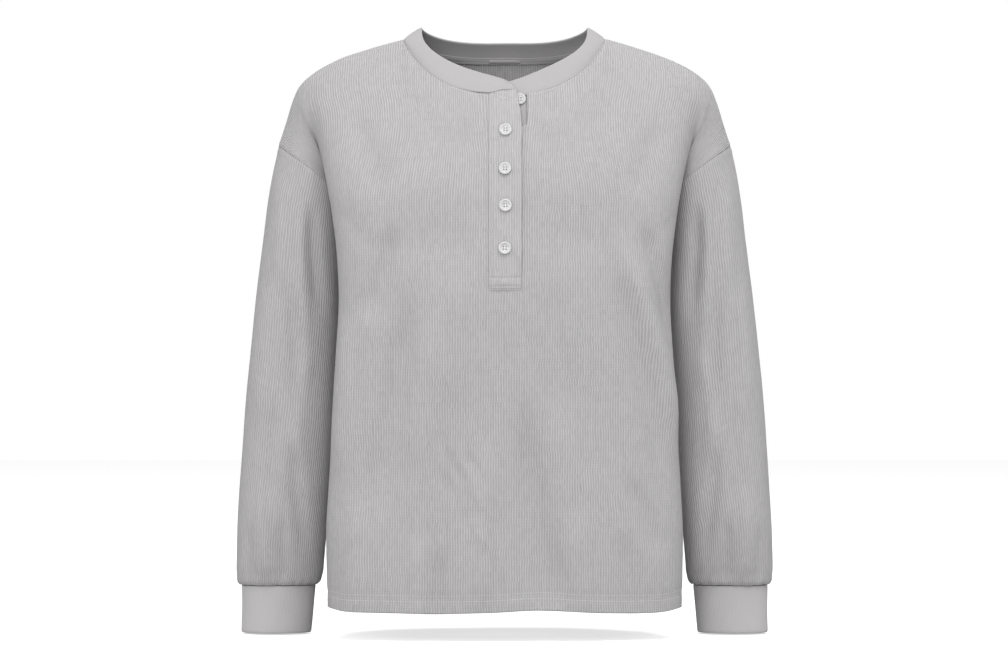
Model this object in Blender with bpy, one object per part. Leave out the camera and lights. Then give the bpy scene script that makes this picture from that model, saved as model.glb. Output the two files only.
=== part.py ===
"""A long-sleeved henley, hollow and filled out as on an unseen wearer.

Metres, +Z up, the front faces -Y. The origin is the middle of the neck opening, level with the points
where the shoulder seams meet the neckband. Every piece of cloth is a thin wall on a smooth form: a grid of
points, moved inwards along its normals by the cloth's thickness.
"""
import math

import bpy
import numpy as np

# Driving sizes
CLOTH = 0.0016               # thickness of the waffle knit
HEM_CLOTH = 0.0030           # the turned-up hem, two layers
HEM_DEPTH = 0.0200
BAND_CLOTH = 0.0024          # the folded neckband
SEAM_GAP = 0.0003
NECK_HALF_WIDTH = 0.114      # at the neck seam
NECK_Y = -0.004              # where the shoulder seam meets the neck
NECK_FRONT = 0.089           # reach of the neck seam forwards from there
NECK_BACK = 0.079            # and backwards
NECK_DROP_FRONT = 0.065
NECK_DROP_BACK = 0.018
UNDERARM_Z = -0.190
HEM_Z = -0.636
CREASE_TOP_X = 0.214         # where the line of the chest's edge meets the shoulder
CREASE_SINK = 0.007          # depth of the armpit crease beside the chest's edge
CREASE_COLUMN = 0.22         # columns outside the chest's edge
CREASE_SPREAD = 0.14
CHEST_WIDTH = 0.200          # half width that the columns are spaced for
ARMHOLE_TOP_Y = 0.014
ARMHOLE_BOW = 0.24           # share of the armhole's fall that is kept for its lowest part
CUFF_MIDDLE_Y = 0.005        # the sleeve's middle line, where it meets the cuff
FRONT_POWER = 2.3            # superellipse exponents of the body's level sections
REAR_POWER = 2.6
REAR_INSET = 0.014           # how far the arm presses the body in behind its front edge
REAR_CORNER = 0.152          # half width at which the rear section turns towards the side seam
CUFF_WALL = 0.0022
SHOULDER_COLUMN = 0.5        # column of the neck point: 0 is the centre line, 1 the edge, 2 the side seam
EDGE_COLUMN = 1.0
SIDE_COLUMN = 2.0
STRAIGHT_WIDTH = 0.030       # columns nearer the centre than this hang straight

# Neckband's folded top edge
BAND_HALF_WIDTH = 0.0945
BAND_HALF_DEPTH = 0.070
BAND_MIDDLE_Y = -0.008
BAND_TOP_Z = 0.0135
BAND_DROP_BACK = 0.0135
BAND_DROP_FRONT = 0.0641
BAND_CROWN = 0.0012          # how far the band bulges between its two edges

# Placket, from the centre line to the viewer's left (-X) and right (+X)
PLACKET_LEFT = -0.0174
PLACKET_RIGHT = 0.0186
PLACKET_FOOT_Z = -0.2830
PLACKET_SLANT = 0.0056       # the free edge stands back by this much at the neck
PLACKET_SLANT_FOOT_Z = -0.101
PLACKET_SLANT_RUN = 0.037
COLUMN_STEP = 0.228          # width of one unit of column near the centre
NOTCH_COLUMN = 0.0150 / COLUMN_STEP
NOTCH_TOP_COLUMN = 0.0250 / COLUMN_STEP
NOTCH_TOP_FOOT_Z = -0.105
NOTCH_FOOT_Z = -0.2750
LAP_COLUMN = 0.26            # the neckband's ends part from the panel inside this column
LAP_FADE = 0.19
OVER_LIFT = 0.0003           # inner face of the upper strip, above the panel
OVER_CLOTH = 0.0018
UNDER_DEPTH = 0.0034         # outer face of the under strip, below the panel
UNDER_CLOTH = 0.0014
OVER_TOP = 0.0008            # the strips start this far below the neck seam
UNDER_TOP = 0.0030
UNDER_SHORTER = 0.002
UNDER_LEFT = -0.0150
UNDER_RIGHT = 0.0270

# Buttons
BUTTON_RADIUS = 0.0070
BUTTON_THICKNESS = 0.0024
BUTTON_WELL = 0.0009
BUTTON_SIDES = 20
BUTTON_PROFILE = (           # radius and height, from the flat back over the rim into the well
    (0.0045, 0.0),
    (0.0062, 0.0003),
    (BUTTON_RADIUS, 0.0011),
    (0.0064, 0.0021),
    (0.0056, BUTTON_THICKNESS),
    (0.0054, 0.0021),
    (0.0042, BUTTON_THICKNESS - BUTTON_WELL),
)
FASTENED_BUTTON_X = 0.0005
FASTENED_BUTTON_Z = (-0.107, -0.150, -0.190, -0.237)
LOOSE_BUTTON_X = 0.0167
LOOSE_BUTTON_Z = -0.0705

# Tape inside the back neck
TAPE_TOP = 0.001             # below the neck seam
TAPE_HEIGHT = 0.0080
TAPE_CLOTH = 0.0009
TAPE_LIFT = 0.0008
LOOP_HALF_WIDTH = 0.018
TAPE_COLUMN = 0.42          # the tape ends at this column, short of the shoulder seam
LOOP_TOP = 0.003
LOOP_HEIGHT = 0.0045

FABRIC_GREY = (0.47, 0.455, 0.457)
SMOOTH_GREY = (0.51, 0.495, 0.50)
BUTTON_GREY = (0.57, 0.56, 0.56)


def table(names, rows):
    """Named columns of a short table."""
    values = np.array(rows, float)
    return {name: values[:, place] for place, name in enumerate(names.split())}


# The shoulder line, from the neck out over the dropped shoulder to the sleeve
SHOULDER = table("along x z", (
    (0.50, 0.114, 0.000),
    (0.60, 0.134, -0.0055),
    (0.80, 0.175, -0.018),
    (1.00, 0.214, -0.034),
    (1.20, 0.2290, -0.0485),
    (1.45, 0.2385, -0.0680),
    (1.70, 0.2460, -0.0920),
    (2.00, 0.2546, -0.1195),
))

# The body's outline: half width of the front edge, where that edge lies, reach of front and back
BODY = table("z edge edge_y front back", (
    (-0.190, 0.1935, -0.068, 0.130, 0.107),
    (-0.230, 0.1890, -0.069, 0.134, 0.110),
    (-0.290, 0.1855, -0.070, 0.137, 0.111),
    (-0.350, 0.1875, -0.070, 0.136, 0.108),
    (-0.420, 0.1915, -0.070, 0.135, 0.109),
    (-0.500, 0.1960, -0.070, 0.136, 0.114),
    (-0.560, 0.1990, -0.070, 0.138, 0.119),
    (-0.640, 0.1975, -0.070, 0.141, 0.125),
))

# The front edge of the chest above the underarm, and the matching line on the back
CHEST_EDGE = table("z front back", (
    (-0.034, 0.2140, 0.2140),
    (-0.064, 0.2180, 0.2110),
    (-0.101, 0.2090, 0.2010),
    (-0.151, 0.2000, 0.1800),
    (-0.190, 0.1935, 0.1520),
))

# Rings of the sleeve: outer and inner edge, then how far it reaches forwards and backwards
SLEEVE = table("outer_z outer_x inner_z inner_x front back seam", (
    (-0.1195, 0.2546, -0.190, 0.1780, -0.050, 0.082, 1.0),
    (-0.150, 0.2610, -0.206, 0.1815, -0.049, 0.082, 0.7),
    (-0.185, 0.2668, -0.226, 0.1835, -0.047, 0.080, 0.4),
    (-0.225, 0.2718, -0.252, 0.1845, -0.045, 0.078, 0.15),
    (-0.275, 0.2780, -0.286, 0.1850, -0.043, 0.076, 0.0),
    (-0.335, 0.2845, -0.338, 0.1875, -0.041, 0.074, 0.0),
    (-0.400, 0.2910, -0.400, 0.1910, -0.040, 0.070, 0.0),
    (-0.470, 0.2960, -0.470, 0.1945, -0.040, 0.063, 0.0),
    (-0.540, 0.3005, -0.540, 0.1995, -0.040, 0.056, 0.0),
    (-0.585, 0.3018, -0.585, 0.2030, -0.038, 0.050, 0.0),
    (-0.603, 0.3005, -0.603, 0.2060, -0.034, 0.045, 0.0),
    (-0.6123, 0.2966, -0.6123, 0.2118, -0.027, 0.037, 0.0),
))

CUFF = table("z outer inner front back", (
    (-0.6129, 0.2962, 0.2122, -0.0265, 0.0365),
    (-0.6400, 0.2958, 0.2150, -0.0250, 0.0350),
    (-0.6660, 0.2965, 0.2175, -0.0250, 0.0345),
))

# The largest drape folds of each panel: ends of the fold's line, half width, height (minus is a trough)
FRONT_FOLDS = table("x0 z0 x1 z1 width height", (
    (-0.128, -0.205, -0.150, -0.300, 0.016, -0.0030),
    (-0.112, -0.318, -0.146, -0.515, 0.020, -0.0030),
    (0.110, -0.222, 0.160, -0.400, 0.016, 0.0030),
    (0.138, -0.215, 0.186, -0.450, 0.014, -0.0035),
    (0.020, -0.395, 0.046, -0.640, 0.018, -0.0035),
    (-0.040, -0.450, -0.046, -0.600, 0.020, 0.0030),
))
BACK_FOLDS = table("x0 z0 x1 z1 width height", (
    (-0.105, -0.200, -0.060, -0.420, 0.020, -0.0030),
    (0.112, -0.190, 0.072, -0.380, 0.018, -0.0032),
    (-0.020, -0.430, -0.036, -0.640, 0.020, -0.0035),
    (0.060, -0.460, 0.074, -0.640, 0.022, 0.0030),
))

# Rows and columns of the panels
COLUMNS = (0.0, NOTCH_COLUMN, NOTCH_TOP_COLUMN, 0.17, 0.23, 0.29, 0.35, 0.42, 0.5,
           0.6, 0.7, 0.8, 0.9, 1.0, 1.2, 1.45, 1.7, 2.0)
UPPER_ROWS = 9
LOWER_LEVELS = (UNDERARM_Z, -0.232, NOTCH_FOOT_Z, -0.330, -0.390, -0.450, -0.510, -0.565,
                HEM_Z + HEM_DEPTH + 0.0006, HEM_Z + HEM_DEPTH - 0.0006, HEM_Z)


def smooth(rows, across, column, at):
    """Cubic through a table's rows, with each row's slope taken from its two neighbours."""
    order = np.argsort(rows[across])
    place = rows[across][order]
    value = rows[column][order]
    slope = np.gradient(value, place)
    at = np.clip(at, place[0], place[-1])
    row = np.clip(np.searchsorted(place, at) - 1, 0, len(place) - 2)
    step = place[row + 1] - place[row]
    t = (at - place[row]) / step
    start = value[row] * (1 + 2 * t) * (1 - t) ** 2 + slope[row] * step * t * (1 - t) ** 2
    end = value[row + 1] * t * t * (3 - 2 * t) - slope[row + 1] * step * t * t * (1 - t)
    return start + end


def ease(t):
    """Smooth step from 0 to 1."""
    t = np.clip(t, 0.0, 1.0)
    return t * t * (3 - 2 * t)


def power(value, exponent):
    """A power that treats rounding errors below zero as zero."""
    return np.maximum(value, 0.0) ** exponent


# ---- the form of the body -------------------------------------------------------------------------------

def top_width(column):
    """Half width of the top edge at a column: straight near the centre, then crowding towards the neck."""
    size = np.abs(column)
    start = STRAIGHT_WIDTH / COLUMN_STEP
    turn = (np.clip(size, start, SHOULDER_COLUMN) - start) / (SHOULDER_COLUMN - start)
    neck = STRAIGHT_WIDTH + (NECK_HALF_WIDTH - STRAIGHT_WIDTH) * np.sin(turn * math.pi / 2)
    inner = np.where(size < start, COLUMN_STEP * size, neck)
    return np.where(size > SHOULDER_COLUMN, smooth(SHOULDER, "along", "x", size), inner)


def low_width(column):
    """Half width at the underarm level, before it is fitted to the body's edge."""
    size = np.clip(np.abs(column), 0, EDGE_COLUMN)
    turn = np.sin(math.pi * (np.clip(size, SHOULDER_COLUMN, EDGE_COLUMN) - SHOULDER_COLUMN))
    outer = NECK_HALF_WIDTH + (CHEST_WIDTH - NECK_HALF_WIDTH) * turn
    return np.where(size < SHOULDER_COLUMN, COLUMN_STEP * size, outer)


def top_edge(column, back):
    """Neckline up to the neck point, then the shoulder line, with the ridge drifting backwards."""
    size = np.abs(column)
    x = top_width(column)
    ratio = np.clip(x / NECK_HALF_WIDTH, 0, 1)
    if back:
        neck_y = NECK_Y + NECK_BACK * power(1 - ratio ** 2, 0.5)
        neck_z = -NECK_DROP_BACK * power(1 - ratio ** 3, 0.8)
    else:
        neck_y = NECK_Y - NECK_FRONT * power(1 - ratio ** 2, 0.5)
        neck_z = -NECK_DROP_FRONT * power(1 - ratio ** 2.6, 0.8)
    along = ease((x - NECK_HALF_WIDTH) / (SHOULDER["x"][-1] - NECK_HALF_WIDTH))
    ridge_y = NECK_Y + (ARMHOLE_TOP_Y - NECK_Y) * along
    ridge_z = smooth(SHOULDER, "along", "z", size)
    on_neck = size <= SHOULDER_COLUMN
    return x, np.where(on_neck, neck_y, ridge_y), np.where(on_neck, neck_z, ridge_z)


def body_section(column, z, back):
    """Level section: superellipses before and behind the widest line, the rear one pulled in at the arm."""
    size = np.abs(column)
    edge = smooth(BODY, "z", "edge", z)
    edge_y = smooth(BODY, "z", "edge_y", z)
    front = smooth(BODY, "z", "front", z)
    rear = smooth(BODY, "z", "back", z)
    side_y = 0.016 - 0.030 * ease((UNDERARM_Z - z) / 0.25)
    spread = np.sin(np.clip(size, 0, 1) * math.pi / 2) ** 3

    def rear_width(y):
        q = np.clip((y - edge_y) / (rear - edge_y), 0, 1)
        return (edge - REAR_INSET * ease((y - edge_y) / 0.060)) * power(1 - q ** REAR_POWER, 1 / REAR_POWER)

    if back:
        corner = REAR_CORNER + 0.004 * ease((UNDERARM_Z - z) / 0.3)
        corner_q = power(1 - (corner / (edge - REAR_INSET)) ** REAR_POWER, 1 / REAR_POWER)
        corner_y = edge_y + (rear - edge_y) * corner_q
        x_in = low_width(column) + (corner - CHEST_WIDTH) * spread
        q_in = power(1 - (x_in / (edge - REAR_INSET)) ** REAR_POWER, 1 / REAR_POWER)
        y_in = edge_y + (rear - edge_y) * q_in
        y_out = corner_y + (side_y - corner_y) * (size - 1)
        inside = size <= EDGE_COLUMN
        return np.where(inside, x_in, rear_width(y_out)), np.where(inside, y_in, y_out)
    x_in = low_width(column) + (edge - CHEST_WIDTH) * spread
    q_in = power(1 - np.clip(x_in / edge, 0, 1) ** FRONT_POWER, 1 / FRONT_POWER)
    y_in = edge_y - (front + edge_y) * q_in
    y_out = edge_y + (side_y - edge_y) * (size - 1)
    inside = size <= EDGE_COLUMN
    return np.where(inside, x_in, rear_width(y_out)), np.where(inside, y_in, y_out)


def column_bend(column):
    """How sharply a column rolls over its top edge: 1 below the neckline, 2 over the shoulder."""
    return 1 + ease(np.abs(column) / SHOULDER_COLUMN)


def chest(column, v, back):
    """Columns from the top edge (v = 0) to the underarm level (v = 1), rolling over the shoulder."""
    column = np.clip(np.abs(column), 0, EDGE_COLUMN)
    top_x, top_y, top_z = top_edge(column, back)
    low_x, low_y = body_section(column, UNDERARM_Z, back)
    bend = column_bend(column)
    fall = v ** bend
    rise = power(1 - (1 - fall) ** 1.45, 1 / bend)
    z = top_z + (UNDERARM_Z - top_z) * fall
    y = top_y + (low_y - top_y) * rise
    settle = ease(v * 1.6)
    x = top_x + (low_x - top_x) * settle
    edge_top_z = smooth(SHOULDER, "along", "z", EDGE_COLUMN)
    edge_z = edge_top_z + (UNDERARM_Z - edge_top_z) * v ** 2
    edge_low = body_section(EDGE_COLUMN, UNDERARM_Z, back)[0]
    edge_plain = CREASE_TOP_X + (edge_low - CREASE_TOP_X) * settle
    edge = smooth(CHEST_EDGE, "z", "back" if back else "front", edge_z)
    x = x + (edge - edge_plain) * np.sin(column * math.pi / 2) ** 6
    return x, y, z


def armhole(angle):
    """The seam of the dropped shoulder: a tilted oval, 0 at its top, pi under the arm, front first."""
    outer_x, inner_x = SLEEVE["outer_x"][0], SLEEVE["inner_x"][0]
    outer_z, inner_z = SLEEVE["outer_z"][0], SLEEVE["inner_z"][0]
    down = (1 - np.cos(angle)) / 2
    x = outer_x + (inner_x - outer_x) * down
    z = outer_z + (inner_z - outer_z) * ((1 - ARMHOLE_BOW) * down + ARMHOLE_BOW * down ** 6)
    front, rear = SLEEVE["front"][0], SLEEVE["back"][0]
    reach = np.where(np.sin(angle) > 0, ARMHOLE_TOP_Y - front, rear - ARMHOLE_TOP_Y)
    return x, ARMHOLE_TOP_Y - reach * np.sin(angle), z


def shoulder_cap(column, v, back):
    """Coons patch from the chest's edge to the armhole seam, with the armpit crease sunk beside the edge."""
    c = np.clip(np.abs(column) - EDGE_COLUMN, 0, 1)
    left = np.array(chest(np.full_like(v, EDGE_COLUMN), v, back))
    right = np.array(armhole(-math.pi * v if back else math.pi * v))
    top = np.array(top_edge(EDGE_COLUMN + c, back))
    low_x, low_y = body_section(EDGE_COLUMN + c, UNDERARM_Z, back)
    low = np.array((low_x, low_y, np.full_like(low_x, UNDERARM_Z)))
    corner = [np.array(point)[:, None, None] for point in (
        np.ravel(top_edge(np.array(EDGE_COLUMN), back)),
        np.ravel(top_edge(np.array(SIDE_COLUMN), back)),
        np.ravel([*body_section(np.array(EDGE_COLUMN), UNDERARM_Z, back), UNDERARM_Z]),
        np.ravel(armhole(np.array(math.pi))))]
    # the section's last point is moved onto the seam's lowest point
    low = low + (corner[3] - np.array(
        [*body_section(np.array(SIDE_COLUMN), UNDERARM_Z, back), UNDERARM_Z])[:, None, None]) * c
    patch = (1 - v) * top + v * low + (1 - c) * left + c * right
    patch -= (1 - c) * (1 - v) * corner[0] + c * (1 - v) * corner[1]
    patch -= (1 - c) * v * corner[2] + c * v * corner[3]
    sink = CREASE_SINK * np.exp(-((c - CREASE_COLUMN) / CREASE_SPREAD) ** 2)
    sink = sink * ease((v - 0.35) / 0.35) * ease((1 - v) / 0.2)
    patch[1] += -sink if back else sink
    return patch


def body_point(column, row, back):
    """Any point of the body: rows 0 to 1 run down to the underarm level, larger ones are metres below it."""
    column, row = np.broadcast_arrays(np.asarray(column, float), np.asarray(row, float))
    shape = column.shape
    column = np.atleast_2d(column)
    row = np.atleast_2d(row)
    sign = np.where(column < 0, -1.0, 1.0)
    v = np.clip(row, 0, 1)
    upper = np.array(chest(column, v, back))
    cap = shoulder_cap(column, v, back)
    point = np.where(np.abs(column) > EDGE_COLUMN, cap, upper)
    z = UNDERARM_Z - np.maximum(row - 1, 0)
    low_x, low_y = body_section(column, z, back)
    # below the underarm the side seam leaves the sleeve gently
    shift = armhole(np.array(math.pi))[0] - body_section(np.array(SIDE_COLUMN), UNDERARM_Z, back)[0]
    leave = ease(1 - (row - 1) / 0.05) * np.clip(np.abs(column) - 1, 0, 1)
    low = np.array((low_x + shift * leave, low_y, z))
    point = np.where(row > 1, low, point)
    point[0] *= sign
    return point.reshape((3,) + shape)


def fold_height(point, folds):
    """Sum of soft ridges and troughs, each a bell across its own line and faded at its ends."""
    total = np.zeros(point.shape[1:])
    for x0, z0, x1, z1, width, height in zip(*folds.values()):
        run = np.array((x1 - x0, z1 - z0))
        length = np.hypot(*run)
        along = ((point[0] - x0) * run[0] + (point[2] - z0) * run[1]) / length ** 2
        across = ((point[0] - x0) * run[1] - (point[2] - z0) * run[0]) / length
        fade = ease(along / 0.25) * ease((1.15 - along) / 0.3)
        total += height * np.exp(-(across / width) ** 2) * fade
    return total


def row_at(column, z, back):
    """The row at which a column passes a level."""
    top_z = top_edge(column, back)[2]
    fall = np.clip((top_z - z) / (top_z - UNDERARM_Z), 0, 1)
    return np.where(z < UNDERARM_Z, 1 + UNDERARM_Z - z, fall ** (1 / column_bend(column)))


# ---- grids and walls ------------------------------------------------------------------------------------

def grid_normals(grid, closed=False):
    """Unit normals of a grid whose rows run down and whose columns run to the right, as seen outside."""
    down = np.gradient(grid, axis=0)
    if closed:
        wrapped = np.concatenate((grid[:, -1:], grid, grid[:, :1]), axis=1)
        right = np.gradient(wrapped, axis=1)[:, 1:-1]
    else:
        right = np.gradient(grid, axis=1)
    normal = np.cross(down, right)
    return normal / np.maximum(np.linalg.norm(normal, axis=2, keepdims=True), 1e-12)


def share(first, second):
    """The mean direction of two pieces' normals along the seam between them."""
    mean = first + second
    return mean / np.linalg.norm(mean, axis=-1, keepdims=True)


def pull_back(grid, side):
    """Draw one edge of a grid back from its seam by half the gap."""
    edge, inner = {"top": (grid[0], grid[1]), "bottom": (grid[-1], grid[-2]),
                   "left": (grid[:, 0], grid[:, 1]), "right": (grid[:, -1], grid[:, -2])}[side]
    way = inner - edge
    edge += way / np.linalg.norm(way, axis=-1, keepdims=True) * SEAM_GAP * 0.6


def cloth_material(name, colour, roughness):
    """One plain material for each piece."""
    material = bpy.data.materials.new(name)
    material.use_nodes = True
    shader = material.node_tree.nodes["Principled BSDF"]
    shader.inputs["Base Color"].default_value = (*colour, 1.0)
    shader.inputs["Roughness"].default_value = roughness
    shader.inputs["Metallic"].default_value = 0.0
    material.diffuse_color = (*colour, 1.0)
    return material


def add_object(name, points, faces, colour, roughness=0.9):
    """A mesh object with its own material, shaded smooth apart from its sharp rims."""
    mesh = bpy.data.meshes.new(name)
    mesh.from_pydata(points, [], faces)
    mesh.update()
    mesh.shade_smooth()
    mesh.set_sharp_from_angle(angle=math.radians(50))
    mesh.materials.append(cloth_material(name + "_finish", colour, roughness))
    thing = bpy.data.objects.new(name, mesh)
    bpy.context.scene.collection.objects.link(thing)
    return thing


def wall(name, grid, normals, thickness, colour, keep=None, closed=False):
    """A closed wall: the grid outside, the same grid moved inwards, and a rim round every open edge."""
    rows, columns = grid.shape[:2]
    inner = grid - normals * np.broadcast_to(np.asarray(thickness, float), (rows, columns))[..., None]
    spans = columns if closed else columns - 1
    keep = np.ones((rows - 1, spans), bool) if keep is None else keep
    row, column = np.nonzero(keep)
    here = row * columns + column
    beside = row * columns + (column + 1) % columns
    quads = np.stack((here, here + columns, beside + columns, beside), axis=1)
    offset = rows * columns
    edges = np.concatenate([quads[:, [k, (k + 1) % 4]] for k in range(4)])
    known = set(map(tuple, edges.tolist()))
    rim = [(b, a, a + offset, b + offset) for a, b in edges.tolist() if (b, a) not in known]
    faces = quads.tolist() + (quads[:, ::-1] + offset).tolist() + rim
    points = np.concatenate((grid.reshape(-1, 3), inner.reshape(-1, 3)))
    used = sorted({corner for face in faces for corner in face})
    renumber = {old: new for new, old in enumerate(used)}
    faces = [[renumber[corner] for corner in face] for face in faces]
    return add_object(name, points[used].tolist(), faces, colour)


# ---- the pieces -----------------------------------------------------------------------------------------

def panel_columns():
    """Columns of a whole panel, from the left side seam to the right one."""
    half = np.array(COLUMNS)
    return np.concatenate((-half[:0:-1], half))


def panel_rows():
    """Rows down to the underarm, then each level of the body below it."""
    upper = np.linspace(0, 1, UPPER_ROWS + 1)[:-1]
    return np.concatenate((upper, 1 + UNDERARM_Z - np.array(LOWER_LEVELS)))


def panel_grid(back):
    """The outer face of the front or back, with its drape folds."""
    columns = panel_columns()
    if back:
        columns = columns[::-1]
    point = body_point(columns[None, :], panel_rows()[:, None], back)
    grid = np.moveaxis(point, 0, 2)
    height = fold_height(point, BACK_FOLDS if back else FRONT_FOLDS)
    fade = ease((EDGE_COLUMN + 0.1 - np.abs(columns)) / 0.25)
    return grid + grid_normals(grid) * (height * fade)[..., None]


def panel_thickness(grid):
    """Single cloth above the hem's stitching, two layers in the hem."""
    return np.where(grid[..., 2] < HEM_Z + HEM_DEPTH, HEM_CLOTH, CLOTH)


def front_notch(grid):
    """Faces of the front that are cut away behind the placket, wider at the open top."""
    columns = panel_columns()
    middle = (columns[1:] + columns[:-1]) / 2
    level = (grid[1:, len(columns) // 2, 2] + grid[:-1, len(columns) // 2, 2]) / 2
    deep = (np.abs(middle) < NOTCH_COLUMN)[None, :] & (level > NOTCH_FOOT_Z)[:, None]
    wide = ((middle > 0) & (middle < NOTCH_TOP_COLUMN))[None, :] & (level > NOTCH_TOP_FOOT_Z)[:, None]
    return ~(deep | wide)


def sleeve_grid(side):
    """Rings of the sleeve, from the armhole seam down to the cuff, each an oval between its two edges."""
    count = 2 * UPPER_ROWS
    angle = -side * 2 * math.pi * np.arange(count) / count
    last = len(SLEEVE["front"]) - 1
    rings = []
    for ring in range(last + 1):
        row = {name: values[ring] for name, values in SLEEVE.items()}
        middle = ARMHOLE_TOP_Y + (CUFF_MIDDLE_Y - ARMHOLE_TOP_Y) * ring / last
        down = (1 - np.cos(angle)) / 2
        x = row["outer_x"] + (row["inner_x"] - row["outer_x"]) * down
        bow = down + row["seam"] * ((1 - ARMHOLE_BOW) * down + ARMHOLE_BOW * down ** 6 - down)
        z = row["outer_z"] + (row["inner_z"] - row["outer_z"]) * bow
        reach = np.where(np.sin(angle) > 0, middle - row["front"], row["back"] - middle)
        rings.append(np.stack((side * x, middle - reach * np.sin(angle), z), axis=1))
    return np.array(rings)


def cuff_grid(side):
    """Three rings of the cuff, in line with the sleeve's end."""
    count = 2 * UPPER_ROWS
    angle = -side * 2 * math.pi * np.arange(count) / count
    rings = []
    for z, outer, inner, front, rear in zip(*CUFF.values()):
        x = (outer + inner) / 2 + (outer - inner) / 2 * np.cos(angle)
        y = (front + rear) / 2 - (rear - front) / 2 * np.sin(angle)
        rings.append(np.stack((side * x, y, np.full(count, z)), axis=1))
    return np.array(rings)


def band_edge(column, back):
    """The neckband's folded top edge, above the neck seam's column."""
    ratio = top_width(column) / NECK_HALF_WIDTH
    reach = BAND_HALF_DEPTH * power(1 - ratio ** 2, 0.5)
    if back:
        drop = BAND_DROP_BACK * power(1 - ratio ** 4, 0.8)
        return np.array((BAND_HALF_WIDTH * ratio, BAND_MIDDLE_Y + reach, BAND_TOP_Z - drop))
    drop = BAND_DROP_FRONT * power(1 - ratio ** 1.35, 0.68)
    return np.array((BAND_HALF_WIDTH * ratio, BAND_MIDDLE_Y - reach, BAND_TOP_Z - drop))


def neckband_grid():
    """From the under end, round the back, to the upper end, which laps over it at the centre front."""
    half = np.array([c for c in COLUMNS if c <= SHOULDER_COLUMN])
    right = np.concatenate(((-NOTCH_COLUMN,), half))
    runs = ((right, False), (half[-2::-1], True), (-half[1:], True), (-half[-2::-1], False),
            ((NOTCH_COLUMN * 0.9,), False))
    strips = []
    lap = []
    for number, (columns, back) in enumerate(runs):
        columns = np.asarray(columns, float)
        sign = np.where(columns < 0, -1.0, 1.0)
        seam = np.array(top_edge(columns, back))
        edge = band_edge(columns, back)
        seam[0] *= sign
        edge[0] *= sign
        strips.append((seam, edge))
        near = ease((LAP_COLUMN - np.abs(columns)) / LAP_FADE)
        if number == 0:
            lap.append(-UNDER_DEPTH * np.where(columns < 0, 1, near))
        else:
            lap.append((OVER_LIFT + OVER_CLOTH) * np.where(columns > 0, 1, near) * (not back))
    seam = np.concatenate([s for s, _ in strips], axis=1).T
    edge = np.concatenate([e for _, e in strips], axis=1).T
    grid = np.array([edge + (seam - edge) * t for t in (0.0, 0.25, 0.5, 0.75, 1.0)])
    crown = BAND_CROWN * np.array((0, 0.8, 1.0, 0.8, 0))
    normal = grid_normals(grid)
    return grid + normal * (crown[:, None] + np.concatenate(lap)[None, :])[..., None]


def strip_grid(left, right, top, levels, lift, back=False):
    """A strip that lies on a panel: the panel's own points at given widths and levels, moved out."""
    span = np.linspace(0, 1, 4)[None, :]
    level = np.asarray(levels, float)[:, None]
    x = left + (right(level) - left) * span
    column = x / COLUMN_STEP
    top_z = top_edge(column, back)[2] - top
    foot = level[-1]
    z = top_z + (foot - top_z) * (level - level[0]) / (foot - level[0])
    row = row_at(column, z, back)
    point = body_point(column, row, back)
    grid = np.moveaxis(point, 0, 2)
    if back:
        grid = grid[:, ::-1]
    normal = grid_normals(grid)
    point = np.moveaxis(grid, 2, 0)
    height = fold_height(point, BACK_FOLDS if back else FRONT_FOLDS)
    return grid + normal * (height + lift)[..., None]


def over_right(level):
    """The free edge of the upper strip, standing back a little towards the neck."""
    open_part = np.clip((level - PLACKET_SLANT_FOOT_Z) / PLACKET_SLANT_RUN, 0, 1)
    return PLACKET_RIGHT - PLACKET_SLANT * open_part ** 1.5


def under_right(level):
    """The straight edge of the under strip."""
    return np.full_like(level, UNDER_RIGHT)


def build_body():
    """Front, back and sleeves, whose normals agree along every seam that they share."""
    front = panel_grid(False)
    rear = panel_grid(True)
    front_n = grid_normals(front)
    rear_n = grid_normals(rear)
    sleeves = {side: sleeve_grid(side) for side in (-1, 1)}
    sleeves_n = {side: grid_normals(grid, closed=True) for side, grid in sleeves.items()}
    count = front.shape[1]
    neck = np.abs(panel_columns()) < SHOULDER_COLUMN - 0.001
    ridge = share(front_n[0], rear_n[0, ::-1])
    front_n[0] = np.where(neck[:, None], front_n[0], ridge)
    rear_n[0] = np.where(neck[:, None], rear_n[0, ::-1], ridge)[::-1]
    low = slice(UPPER_ROWS + 1, None)
    for mine, theirs in ((0, count - 1), (count - 1, 0)):
        seam = share(front_n[low, mine], rear_n[low, theirs])
        front_n[low, mine] = seam
        rear_n[low, theirs] = seam
    for side in (-1, 1):
        join_armhole(side, front_n, rear_n, sleeves_n[side])
    for grid in (front, rear):
        for side in ("top", "left", "right"):
            pull_back(grid, side)
    wall("front_panel", front, front_n, panel_thickness(front), FABRIC_GREY, keep=front_notch(front))
    wall("back_panel", rear, rear_n, panel_thickness(rear), FABRIC_GREY)
    for side, name in ((-1, "sleeve_left"), (1, "sleeve_right")):
        grid = sleeves[side]
        pull_back(grid, "top")
        wall(name, grid, sleeves_n[side], CLOTH, FABRIC_GREY, closed=True)
    return rear, rear_n


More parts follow.
